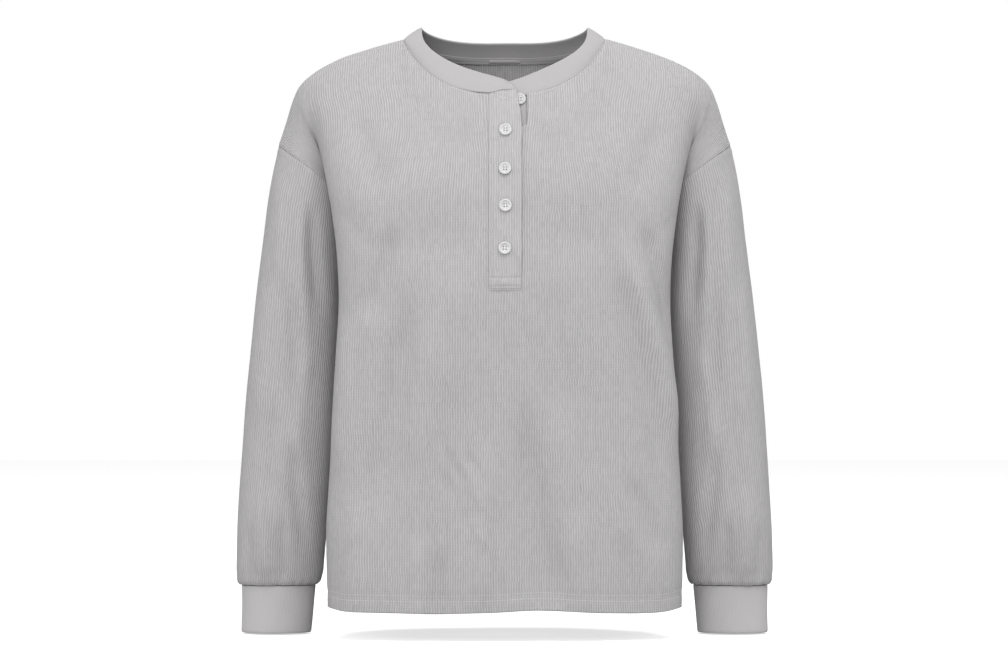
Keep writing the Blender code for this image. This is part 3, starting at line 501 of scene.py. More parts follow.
def fold_height(x, z, folds):
    """Sum of soft ridges and troughs, each a bell across its own bowed line, faded at its ends and widening
    along it."""
    total = np.zeros(np.shape(x))
    for x0, z0, x1, z1, bow, width, height in zip(*folds.values()):
        run = np.array((x1 - x0, z1 - z0))
        length = np.hypot(*run)
        along = ((x - x0) * run[0] + (z - z0) * run[1]) / length ** 2
        across = ((x - x0) * run[1] - (z - z0) * run[0]) / length
        across = across + bow * 4 * along * (1 - along)
        fade = ease(along / 0.35) * ease((1.15 - along) / 0.35)
        total += FOLD_DEPTH * height * bell(across, width * (0.7 + 0.45 * np.clip(along, 0, 1))) * fade
    return total


def fullness(x, z, places):
    """Sum of rounded swellings or hollows, each a bell both ways."""
    total = np.zeros(np.shape(x))
    for centre_x, centre_z, width, tall, height in zip(*places.values()):
        total += height * bell(x - centre_x, width) * bell(z - centre_z, tall)
    return total


def ripple(x, z, seed):
    """Faint unevenness of the cloth: a few sine waves of unlike lengths and directions, under half a
    millimetre high together."""
    chance = np.random.default_rng(seed)
    total = np.zeros(np.shape(x))
    for length in (0.110, 0.083, 0.061, 0.044, 0.031):
        turn = chance.uniform(-0.7, 0.7)
        phase = chance.uniform(0, 2 * math.pi)
        along = x * math.cos(turn) + z * math.sin(turn)
        total += length * 0.0022 * np.sin(2 * math.pi * along / length + phase)
    return total


# ---- grids, walls and stitching -------------------------------------------------------------------------

def grid_normals(grid, closed=False):
    """Unit normals of a grid whose rows run down and whose columns run to the right, as seen outside."""
    down = np.gradient(grid, axis=0)
    if closed:
        wrapped = np.concatenate((grid[:, -1:], grid, grid[:, :1]), axis=1)
        right = np.gradient(wrapped, axis=1)[:, 1:-1]
    else:
        right = np.gradient(grid, axis=1)
    return unit(np.cross(down, right))


def lengths(grid, axis):
    """Distance along each row (axis 1) or column (axis 0) of a grid, from its start."""
    steps = np.linalg.norm(np.diff(grid, axis=axis), axis=2)
    start = np.zeros_like(np.take(steps, [0], axis=axis))
    return np.concatenate((start, np.cumsum(steps, axis=axis)), axis=axis)


def pull_back(grid, side, distance):
    """Draw one edge of a grid back from its seam."""
    edge, inner = {"top": (grid[0], grid[2]), "bottom": (grid[-1], grid[-3]),
                   "left": (grid[:, 0], grid[:, 2]), "right": (grid[:, -1], grid[:, -3])}[side]
    edge += unit(inner - edge) * distance


def make_mesh(name, points, faces, uv=None):
    """A mesh object from arrays, shaded smooth, with its UV map in metres of cloth."""
    mesh = bpy.data.meshes.new(name)
    mesh.from_pydata(points.tolist(), [], faces)
    mesh.update()
    mesh.shade_smooth()
    if uv is not None:
        layer = mesh.uv_layers.new(name="cloth")
        layer.data.foreach_set("uv", np.asarray(uv, np.float32).ravel())
    thing = bpy.data.objects.new(name, mesh)
    bpy.context.scene.collection.objects.link(thing)
    return thing


def wall(name, grid, normals, thickness, uv, keep=None, closed=False, wrap=0.0):
    """A closed wall of cloth: the grid outside, the same grid moved inwards along its normals, and every open
    edge rounded over by one more ring of points a little further out."""
    rows, columns = grid.shape[:2]
    thickness = np.broadcast_to(np.asarray(thickness, float), (rows, columns))
    inner = grid - normals * thickness[..., None]
    spans = columns if closed else columns - 1
    keep = np.ones((rows - 1, spans), bool) if keep is None else keep
    row, column = np.nonzero(keep)
    here = row * columns + column
    beside = row * columns + (column + 1) % columns
    quads = np.stack((here, here + columns, beside + columns, beside), axis=1)
    wide = np.concatenate((uv, uv[:, :1] + (wrap, 0)), axis=1) if closed else uv
    corner_uv = np.stack((wide[row, column], wide[row + 1, column], wide[row + 1, column + 1],
                          wide[row, column + 1]), axis=1)
    count = rows * columns
    edges = np.concatenate([quads[:, [k, (k + 1) % 4]] for k in range(4)])
    edge_uv = np.concatenate([corner_uv[:, [k, (k + 1) % 4]] for k in range(4)])
    open_edge = ~np.isin(edges[:, 0] * count + edges[:, 1], edges[:, 1] * count + edges[:, 0])
    start, end = edges[open_edge].T
    outer_points = grid.reshape(-1, 3)
    inner_points = inner.reshape(-1, 3)
    flat_normals = normals.reshape(-1, 3)
    way = unit(np.cross(outer_points[end] - outer_points[start], flat_normals[start]))
    out = np.zeros_like(outer_points)
    np.add.at(out, start, way)
    np.add.at(out, end, way)
    rim = np.unique(np.concatenate((start, end)))
    round_out = thickness.reshape(-1)[rim, None] * RIM_ROUND
    rim_points = (outer_points[rim] + inner_points[rim]) / 2 + unit(out[rim]) * round_out
    place = np.zeros(count, int)
    place[rim] = 2 * count + np.arange(len(rim))
    first = np.stack((end, start, place[start], place[end]), axis=1)
    second = np.stack((place[end], place[start], start + count, end + count), axis=1)
    faces = np.concatenate((quads, quads[:, ::-1] + count, first, second))
    rim_uv = edge_uv[open_edge][:, [1, 0, 0, 1]]
    loops = np.concatenate((corner_uv, corner_uv[:, ::-1], rim_uv, rim_uv))
    points = np.concatenate((outer_points, inner_points, rim_points))
    used, faces = np.unique(faces, return_inverse=True)
    return make_mesh(name, points[used], faces.reshape(-1, 4).tolist(), loops.reshape(-1, 2))


def stitches(name, runs, length=0.0028, gap=0.0005, radius=0.00034):
    """Topstitching: short spindles of thread laid end to end along each run of points, every spindle
    six-sided and half sunk in the cloth. A run is (points, normals)."""
    turn = 2 * math.pi * np.arange(6) / 6
    share = np.array((-0.5, -0.36, 0.0, 0.36, 0.5))
    swell = np.array((0.25, 0.85, 1.0, 0.85, 0.25))
    all_points, all_faces, total = [], [], 0
    for points, normals in runs:
        walked = np.concatenate(((0,), np.cumsum(np.linalg.norm(np.diff(points, axis=0), axis=1))))
        count = max(int(walked[-1] / (length + gap)), 1)
        middle = (np.arange(count) + 0.5) * walked[-1] / count
        place = np.stack([np.interp(middle, walked, points[:, k]) for k in range(3)], axis=1)
        ahead = np.stack([np.interp(middle + 0.001, walked, points[:, k]) for k in range(3)], axis=1)
        behind = np.stack([np.interp(middle - 0.001, walked, points[:, k]) for k in range(3)], axis=1)
        way = unit(ahead - behind)
        up = unit(np.stack([np.interp(middle, walked, normals[:, k]) for k in range(3)], axis=1))
        across = unit(np.cross(way, up))
        ring = (np.cos(turn)[:, None, None] * across + np.sin(turn)[:, None, None] * up * 0.8)
        body = (place[None, None] + way[None, None] * (share * length)[:, None, None, None]
                + ring[None] * (swell * radius)[:, None, None, None])
        body = np.moveaxis(body, 2, 0).reshape(-1, 3)
        size = 30
        side = [(r * 6 + k, r * 6 + (k + 1) % 6, r * 6 + 6 + (k + 1) % 6, r * 6 + 6 + k)
                for r in range(4) for k in range(6)]
        for number in range(count):
            base = total + number * size
            all_faces += [tuple(base + corner for corner in face) for face in side]
            all_faces.append(tuple(base + k for k in (5, 4, 3, 2, 1, 0)))
            all_faces.append(tuple(base + 24 + k for k in range(6)))
        all_points.append(body)
        total += count * size
    return make_mesh(name, np.concatenate(all_points), all_faces)


# ---- shading --------------------------------------------------------------------------------------------

class Value:
    """A socket of a material, with arithmetic that adds the Math nodes it needs."""

    def __init__(self, shader, socket):
        """Keeps the socket and the material that it belongs to."""
        self.shader = shader
        self.socket = socket

    def _maths(self, operation, *others):
        """One Math node, with this value first."""
        inputs = {place: other for place, other in enumerate((self,) + others)}
        return self.shader.node("ShaderNodeMath", {"operation": operation}, inputs)

    def _reflected(self, operation, other):
        """One Math node, with this value second."""
        return self.shader.node("ShaderNodeMath", {"operation": operation}, {0: other, 1: self})

    def __add__(self, other):
        """self + other"""
        return self._maths("ADD", other)

    def __radd__(self, other):
        """other + self"""
        return self._reflected("ADD", other)

    def __sub__(self, other):
        """self - other"""
        return self._maths("SUBTRACT", other)

    def __rsub__(self, other):
        """other - self"""
        return self._reflected("SUBTRACT", other)

    def __mul__(self, other):
        """self * other"""
        return self._maths("MULTIPLY", other)

    def __rmul__(self, other):
        """other * self"""
        return self._reflected("MULTIPLY", other)

    def __truediv__(self, other):
        """self / other"""
        return self._maths("DIVIDE", other)

    def __rtruediv__(self, other):
        """other / self"""
        return self._reflected("DIVIDE", other)

    def sine(self):
        """Sine of an angle in radians."""
        return self._maths("SINE")

    def floor(self):
        """The whole number below."""
        return self._maths("FLOOR")

    def clamp(self):
        """Held between 0 and 1."""
        return self._maths("MINIMUM", 1.0)._maths("MAXIMUM", 0.0)


class Shader:
    def __init__(self, name):
        """Starts the material with its Principled shader."""
        self.material = bpy.data.materials.new(name)
        self.material.use_nodes = True
        self.tree = self.material.node_tree
        self.principled = self.tree.nodes["Principled BSDF"]

    def put(self, socket, value):
        """Links a value to a socket, or sets the socket's own number or colour."""
        if isinstance(value, Value):
            self.tree.links.new(value.socket, socket)
        else:
            socket.default_value = value

    def node(self, kind, settings=None, inputs=None, output=0):
        """Adds one node: its settings first, then the values or links of its sockets."""
        made = self.tree.nodes.new(kind)
        for key, value in (settings or {}).items():
            setattr(made, key, value)
        for key, value in (inputs or {}).items():
            self.put(made.inputs[key], value)
        return Value(self, made.outputs[output])

    def cloth_place(self):
        """The two directions of the cloth, in metres: across the ribs and along them."""
        uv = self.node("ShaderNodeUVMap", {"uv_map": "cloth"})
        parts = self.tree.nodes.new("ShaderNodeSeparateXYZ")
        self.tree.links.new(uv.socket, parts.inputs[0])
        return uv, Value(self, parts.outputs[0]), Value(self, parts.outputs[1])

    def noise(self, vector, scale, detail=2.0, rough=0.5):
        """Soft noise from 0 to 1, with scale cells to the metre."""
        return self.node("ShaderNodeTexNoise", {"noise_dimensions": "3D"},
                         {"Vector": vector, "Scale": scale, "Detail": detail, "Roughness": rough})

    def colour_mix(self, share, first, second):
        """A colour between two others, by a share from 0 to 1."""
        made = self.tree.nodes.new("ShaderNodeMix")
        made.data_type = "RGBA"
        self.put(made.inputs[0], share)
        self.put(made.inputs[6], first)
        self.put(made.inputs[7], second)
        return Value(self, made.outputs[2])

    def finish(self, colour, roughness, height=None, depth=0.001, **plain):
        """Colour, roughness and a bump whose height, from 0 to 1, stands for depth metres."""
        self.put(self.principled.inputs["Base Color"], colour)
        self.put(self.principled.inputs["Roughness"], roughness)
        for key, value in plain.items():
            self.put(self.principled.inputs[key.replace("_", " ")], value)
        if height is not None:
            bump = self.node("ShaderNodeBump", None, {"Height": height, "Distance": depth, "Strength": 1.0})
            self.put(self.principled.inputs["Normal"], bump)
        return self.material


def grey(level, tint=0.0):
    """A grey of that linear level, tinted towards a dusty mauve."""
    return (level * (1 + tint), level * (1 - tint), level, 1.0)


def waffle_knit(name, level, contrast=1.0):
    """Upright ribs as a raised cosine across the cloth, weaker courses along it, painted shade in the grooves
    of both, every stitch cell a touch lighter or darker, and a slow mottle from the garment's washing."""
    shader = Shader(name)
    uv, across, along = shader.cloth_place()
    sway = (shader.noise(uv, 28.0, 1.0) - 0.5) * 0.0020
    jog = (shader.node("ShaderNodeTexWhiteNoise", {"noise_dimensions": "2D"},
                       {"Vector": shader.node("ShaderNodeCombineXYZ", None,
                                              {0: (along / 0.0090).floor(), 1: (across / 0.0210).floor()})})
           - 0.5) * 0.0010
    rib = ((across + sway + jog) * (2 * math.pi / RIB_PITCH)).sine() * 0.5 + 0.5
    course = ((along + sway) * (2 * math.pi / COURSE_PITCH)).sine() * 0.5 + 0.5
    cell = shader.node("ShaderNodeCombineXYZ", None, {0: (across / RIB_PITCH).floor(),
                                                      1: (along / (2 * COURSE_PITCH)).floor()})
    speck = shader.node("ShaderNodeTexWhiteNoise", {"noise_dimensions": "2D"}, {"Vector": cell})
    patch = shader.noise(uv, 9.0, 3.0)
    fade = (shader.noise(uv, 16.0, 2.0) * 1.6 - 0.15).clamp()
    height = rib * 0.90 + course * 0.10
    fuzz = shader.noise(uv, 2600.0, 2.0)
    # painted shade: the colour follows the ribs' and courses' bump, darker in each groove, as strong as fade
    # and contrast allow
    painted_groove_shade = (rib - 0.5) * (fade * 0.5 + 0.5) * 0.44 + (course - 0.5) * 0.05
    tone = painted_groove_shade * contrast + (speck - 0.5) * 0.10 + (patch - 0.5) * 0.10 + 0.5
    colour = shader.colour_mix(tone.clamp(), grey(level * 0.60, TINT), grey(level * 1.40, TINT))
    return shader.finish(colour, 0.93 - 0.05 * patch, height + fuzz * 0.10, 0.00050,
                         Sheen_Weight=0.10, Sheen_Roughness=0.6, Specular_IOR_Level=0.12)


def smooth_rib(name, level):
    """Fine flat rib: narrow raised cosines along the strip, with painted shade in their grooves, a soft fuzz
    and a slow mottle.
    """
    shader = Shader(name)
    uv, across, along = shader.cloth_place()
    sway = (shader.noise(uv, 60.0, 1.0) - 0.5) * 0.0006
    rib = ((across + sway) * (2 * math.pi / FINE_RIB)).sine() * 0.5 + 0.5
    patch = shader.noise(uv, 14.0, 3.0)
    fuzz = shader.noise(uv, 2200.0, 2.0)
    # painted shade: the rib's term darkens the colour in each groove, following the bump
    tone = rib * 0.22 + patch * 0.42 + fuzz * 0.16 + 0.10
    colour = shader.colour_mix(tone.clamp(), grey(level * 0.90, TINT), grey(level * 1.10, TINT))
    return shader.finish(colour, 0.94 - 0.04 * patch, rib * 0.8 + fuzz * 0.2, 0.00018,
                         Sheen_Weight=0.10, Sheen_Roughness=0.6, Specular_IOR_Level=0.12)


def thread(name, level):
    """Matt sewing thread, unevenly dyed."""
    shader = Shader(name)
    place = shader.node("ShaderNodeTexCoord", output=3)
    tone = shader.noise(place, 300.0, 2.0)
    colour = shader.colour_mix(tone, grey(level * 0.88, TINT), grey(level * 1.10, TINT))
    return shader.finish(colour, 0.8, Specular_IOR_Level=0.2)


def polished_button(name, level):
    """Moulded plastic with a faint pearly cloud in it."""
    shader = Shader(name)
    place = shader.node("ShaderNodeTexCoord", output=3)
    cloud = shader.noise(place, 260.0, 3.0)
    scuff = shader.noise(place, 1400.0, 2.0)
    colour = shader.colour_mix(cloud, grey(level * 0.93), grey(level * 1.07))
    return shader.finish(colour, 0.30 + 0.14 * scuff, scuff, 0.00003,
                         Specular_IOR_Level=0.5, Coat_Weight=0.15)


def pale_floor():
    """White paper that glows where the camera sees it, so that it stays white, with painted light: a brighter
    glow round the shirt's footprint that fills the shadow the shirt throws there. It throws only its own soft
    bounce on the cloth."""
    shader = Shader("pale_floor")
    place = shader.node("ShaderNodeMapping", None,
                        {"Vector": shader.node("ShaderNodeTexCoord", output=3),
                         "Location": (0.0, 9.0, 0.0), "Scale": (1.7, 3.0, 1.0)})
    # painted light: the glow rises towards the floor under the shirt, lifting the shadow there
    under = shader.node("ShaderNodeTexGradient", {"gradient_type": "SPHERICAL"}, {"Vector": place}, output=1)
    glow_with_painted_fill = shader.colour_mix(under, grey(0.60), grey(1.0))
    shader.finish(grey(0.85), 0.9, Emission_Color=glow_with_painted_fill, Emission_Strength=FLOOR_GLOW)
    nodes, links = shader.tree.nodes, shader.tree.links
    bounce = nodes.new("ShaderNodeBsdfDiffuse")
    bounce.inputs["Color"].default_value = grey(0.45)
    mix = nodes.new("ShaderNodeMixShader")
    links.new(nodes.new("ShaderNodeLightPath").outputs["Is Camera Ray"], mix.inputs[0])
    links.new(bounce.outputs[0], mix.inputs[1])
    links.new(shader.principled.outputs[0], mix.inputs[2])
    links.new(mix.outputs[0], nodes["Material Output"].inputs[0])
    return shader.material


# ---- the pieces -----------------------------------------------------------------------------------------

def declare(piece, slot, *nodes):
    """The piece rides on the shirt's one body and stands for CAD nodes, whose own parts it hides. Its slot is
    not used.
    """
    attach(piece, "root")
    if nodes:
        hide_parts(*nodes)
    return piece


def spread(*parts, fixed=(), apart=0.006):
    """One rising list from several, with the fixed places kept and what crowds them dropped."""
    places = np.unique(np.round(np.concatenate(parts), 6))
    for place in fixed:
        places = places[np.abs(places - place) > apart]
    return np.unique(np.concatenate((places, fixed)))


def panel_columns():
    """Columns of a panel from side seam to side seam, closer together at its edges and at the placket."""
    half = spread(np.linspace(0, 1, 56), np.linspace(1, 2, 26), (1.985, 1.97, 1.95),
                  fixed=(NOTCH_LEFT_COLUMN, NOTCH_TOP_COLUMN))
    return np.concatenate((-half[:0:-1], half))


def panel_rows():
    """Rows of a panel, from the top edge over the underarm level to the hem."""
    upper = np.linspace(0, 1, 60)[:-1]
    levels = spread(np.linspace(0, UNDERARM_Z - HEM_Z, 100), (0.4425, 0.4445, 0.4452),
                    fixed=(UNDERARM_Z - NOTCH_FOOT_Z,), apart=0.002)
    return np.concatenate((upper, 1 + levels))


def seam_dip(distance):
    """Cloth turning down into a seam, and the soft ridge of the seam allowance beside it."""
    return -0.0002 * bell(distance, 0.0012) + 0.0004 * bell(distance - 0.0046, 0.0024)


def panel_relief(grid, columns, back):
    """Folds, ripples, the dip into each seam and the line of the hem's stitching, as heights."""
    x, z = grid[..., 0], grid[..., 2]
    size = np.abs(columns)[None, :]
    across = lengths(grid, 1)
    to_side = np.minimum(across, across[:, -1:] - across)
    from_top = lengths(grid, 0)
    height = fold_height(x, z, BACK_FOLDS if back else FRONT_FOLDS) * ease((1.1 - size) / 0.25)
    height += ripple(x, z, 5 if back else 4) * ease((1.6 - size) / 0.4)
    if not back:
        height += fullness(x, z, FRONT_FULLNESS)
    height += seam_dip(to_side) + seam_dip(from_top) * 0.8
    height -= 0.0008 * bell(z - HEM_Z - HEM_ROWS[1], 0.0014)
    height -= 0.0007 * bell(z - HEM_Z - HEM_ROWS[0], 0.0012)
    height += 0.0003 * bell(z - HEM_Z - sum(HEM_ROWS) / 2, 0.0016)
    return height


def hem_lift(grid, back):
    """How far the hem's edge rises or dips, fading out above it."""
    waves = HEM_WAVES[back]
    lift = np.zeros(grid.shape[:2])
    for x, width, rise in zip(*waves.values()):
        lift += rise * bell(grid[..., 0] - x, width)
    return lift * ease((HEM_Z + 0.10 - grid[..., 2]) / 0.09)


def cloth_map(grid, columns, back):
    """Where each point lies in the flat cloth: across the ribs, measured from the centre line, and along
    them, measured from the underarm level. Near the placket's top the ribs lean towards it."""
    middle = len(columns) // 2
    level = int(np.argmin(np.abs(grid[:, middle, 2] - UNDERARM_Z)))
    across = lengths(grid, 1)
    across = across - across[:, middle:middle + 1]
    inside = np.nonzero(np.abs(columns) <= EDGE_COLUMN)[0]
    first, last = inside[0], inside[-1]
    straight = grid[..., 0] * (-1 if back else 1) * 1.04
    settle = ease((np.arange(len(grid)) / level - 0.45) / 0.55)[:, None]
    u = straight + (across - straight) * settle
    u[:, last:] = u[:, last:last + 1] + across[:, last:] - across[:, last:last + 1]
    u[:, :first + 1] = u[:, first:first + 1] + across[:, :first + 1] - across[:, first:first + 1]
    down = lengths(grid, 0)
    v = down[level] - down
    if not back:
        x, z = grid[..., 0], grid[..., 2]
        lean = 0.006 * bell(np.abs(x) - 0.034, 0.020) * ease((z + 0.150) / 0.085)
        u = u - np.sign(x) * lean
    return np.stack((u, v), axis=2)


def ease_creases(grid, columns):
    """Rounds the line where the chest meets the shoulder's cap, by averaging neighbours across it."""
    nearness = bell(np.abs(columns) - EDGE_COLUMN, 0.16)[None, 1:-1, None]
    grid = grid.copy()
    for _ in range(30):
        middle = (grid[:, :-2] + grid[:, 2:]) / 2
        grid[:, 1:-1] += (middle - grid[:, 1:-1]) * 0.5 * nearness
    return grid


def panel_form(back):
    """A panel's outer face, its columns, its place in the flat cloth and its normals."""
    columns = panel_columns()
    if back:
        columns = columns[::-1]
    point = body_point(columns[None, :], panel_rows()[:, None], back)
    grid = ease_creases(np.moveaxis(point, 0, 2), columns)
    uv = cloth_map(grid, columns, back)
    grid = grid + grid_normals(grid) * panel_relief(grid, columns, back)[..., None]
    grid[..., 2] += hem_lift(grid, back)
    return grid, columns, uv


def front_notch(grid, columns):
    """Faces of the front that are cut away behind the placket, wider at its open top."""
    middle = (columns[1:] + columns[:-1]) / 2
    centre = len(columns) // 2
    level = (grid[1:, centre, 2] + grid[:-1, centre, 2]) / 2
    deep = (np.abs(middle) < NOTCH_LEFT_COLUMN)[None, :] & (level > NOTCH_FOOT_Z)[:, None]
    wide = ((middle > 0) & (middle < NOTCH_TOP_COLUMN))[None, :] & (level > NOTCH_TOP_FOOT_Z)[:, None]
    return ~(deep | wide)


def make_panel(back):
    """Front or back: the form with its relief, as a wall that is thicker in the hem."""
    grid, columns, uv = panel_form(back)
    normals = grid_normals(grid)
    for side in ("top", "left", "right"):
        pull_back(grid, side, SEAM_BACK)
    thickness = CLOTH + (HEM_CLOTH - CLOTH) * ease((HEM_Z + HEM_DEPTH - grid[..., 2]) / 0.0025)
    keep = None if back else front_notch(grid, columns)
    name = "back_cloth" if back else "front_cloth"
    piece = wall(name, grid, normals, thickness, uv, keep)
    return piece, grid, normals, columns


def sleeve_form(side):
    """Rings between the sleeve's outer and inner edges: ovals that start as the tilted armhole seam, with the
    folds, ripples, the dip at the seam and small gathers above the cuff."""
    count = 112
    angle = -side * 2 * math.pi * np.arange(count)[None, :] / count
    last = SLEEVE["along"][-1]
    ring = spread(np.linspace(0, last, 130), (0.02, 0.05, last - 0.1, last - 0.04))[:, None]
    row = {name: smooth(SLEEVE, "along", name, ring) for name in SLEEVE if name != "along"}
    middle = ARMHOLE_TOP_Y + (CUFF_MIDDLE_Y - ARMHOLE_TOP_Y) * ring / last
    down = (1 - np.cos(angle)) / 2
    x = row["outer_x"] + (row["inner_x"] - row["outer_x"]) * down
    bow = down + row["seam"] * ((1 - ARMHOLE_BOW) * down + ARMHOLE_BOW * down ** 6 - down)
    z = row["outer_z"] + (row["inner_z"] - row["outer_z"]) * bow
    reach = np.where(np.sin(angle) > 0, middle - row["front"], row["back"] - middle)
    squareness = 1 - 0.24 * ease(ring / 1.5) * (np.sin(angle) > 0)
    y = middle - reach * np.sign(np.sin(angle)) * np.abs(np.sin(angle)) ** squareness
    grid = np.stack((side * x, y, z), axis=2)
    uv_across = lengths(np.concatenate((grid, grid[:, :1]), axis=1), 1)
    shared_round = uv_across[:, -1].mean()
    across = uv_across[:, :-1] * shared_round / uv_across[:, -1:]
    uv = np.stack((np.broadcast_to(across, z.shape), -lengths(grid, 0)), axis=2)
    facing = ease(np.sin(angle) * 2.5)
    behind = ease(-np.sin(angle) * 2.5)
    height = fold_height(x, z, SLEEVE_FRONT_FOLDS) * facing + fold_height(x, z, SLEEVE_BACK_FOLDS) * behind
    height += ripple(x * 1.3 + y, z, 7 + side) * 0.8
    from_seam = lengths(grid, 0)
    height += seam_dip(from_seam)
    to_cuff = from_seam[-1:] - from_seam
    gather = np.sin(angle * 19 + 1.3 * np.sin(angle * 3 + side)) + 0.5 * np.sin(angle * 31 + side)
    height += 0.00045 * gather * bell(to_cuff - 0.003, 0.007)
    normals = grid_normals(grid, closed=True)
    grid = grid + normals * height[..., None]
    return grid, uv, shared_round


def make_sleeve(side):
    """One sleeve with rounded ends."""
    grid, uv, around = sleeve_form(side)
    normals = grid_normals(grid, closed=True)
    pull_back(grid, "top", SEAM_BACK)
    pull_back(grid, "bottom", SEAM_BACK)
    name = "sleeve_cloth_right" if side > 0 else "sleeve_cloth_left"
    return wall(name, grid, normals, CLOTH, uv, closed=True, wrap=around)


def make_cuff(side):
    """An oval tube of rib, slightly waisted, drawn in at its seam and rolled at its folded edge."""
    count = 112
    angle = -side * 2 * math.pi * np.arange(count)[None, :] / count
    z = spread(np.linspace(CUFF["z"][0], CUFF["z"][-1], 26), (-0.6137, -0.6146, -0.6652, -0.6656))[::-1, None]
    row = {name: smooth(CUFF, "z", name, z) for name in CUFF if name != "z"}
    x = (row["outer"] + row["inner"]) / 2 + (row["outer"] - row["inner"]) / 2 * np.cos(angle)
    y = (row["front"] + row["back"]) / 2 - (row["back"] - row["front"]) / 2 * np.sin(angle)
    grid = np.stack((side * x, y, np.broadcast_to(z, x.shape)), axis=2)
    around = lengths(np.concatenate((grid, grid[:, :1]), axis=1), 1)
    size = around[:, -1].mean()
    uv = np.stack((around[:, :-1] * size / around[:, -1:], -lengths(grid, 0)), axis=2)
    from_top = lengths(grid, 0)
    to_fold = from_top[-1:] - from_top
    height = -0.0002 * bell(from_top, 0.0016) - 0.0006 * bell(to_fold, 0.0010)
    height = height + ripple(x * 1.4 + y, grid[..., 2], 12 + side) * 0.7
    normals = grid_normals(grid, closed=True)
    grid = grid + normals * height[..., None]
    pull_back(grid, "top", SEAM_BACK)
    name = "cuff_rib_right" if side > 0 else "cuff_rib_left"
    return wall(name, grid, grid_normals(grid, closed=True), CUFF_CLOTH, uv, closed=True, wrap=size)


def band_edge(column, back):
    """The neckband's folded top edge, above the neck seam's column: a smaller oval that drops in a soft V at
    the front and lies nearly level at the back."""
    ratio = top_width(column) / NECK_HALF_WIDTH
    reach = BAND_HALF_DEPTH * power(1 - ratio ** 2, 0.5)
    if back:
        drop = BAND_DROP_BACK * power(1 - ratio ** 4, 0.8)
        return np.array((BAND_HALF_WIDTH * ratio, BAND_MIDDLE_Y + reach, BAND_TOP_Z - drop))
    drop = BAND_DROP_FRONT * power(1 - ratio, 0.42)
    return np.array((BAND_HALF_WIDTH * ratio, BAND_MIDDLE_Y - reach, BAND_TOP_Z - drop))


def band_stations():
    """Columns round the neck from the under end to the upper one, each with its side and front or back."""
    quarter = SHOULDER_COLUMN * np.linspace(0, 1, 60)
    under = np.linspace(-NOTCH_LEFT_COLUMN, 0, 10)[:-1]
    over = np.linspace(0, 0.057, 14)[1:]
    columns = np.concatenate((under, quarter, quarter[-2::-1], -quarter[1:], -quarter[-2::-1], over))
    back = np.zeros(len(columns), bool)
    start = len(under) + len(quarter)
    back[start:start + 2 * len(quarter) - 2] = True
    return columns, back


def at_station(function, columns, back):
    """A curve round the neck, read from its front or back half with the station's sign."""
    front_points = np.array(function(columns, False))
    back_points = np.array(function(columns, True))
    points = np.where(back, back_points, front_points)
    points[0] *= np.where(columns < 0, -1.0, 1.0)
    return points.T


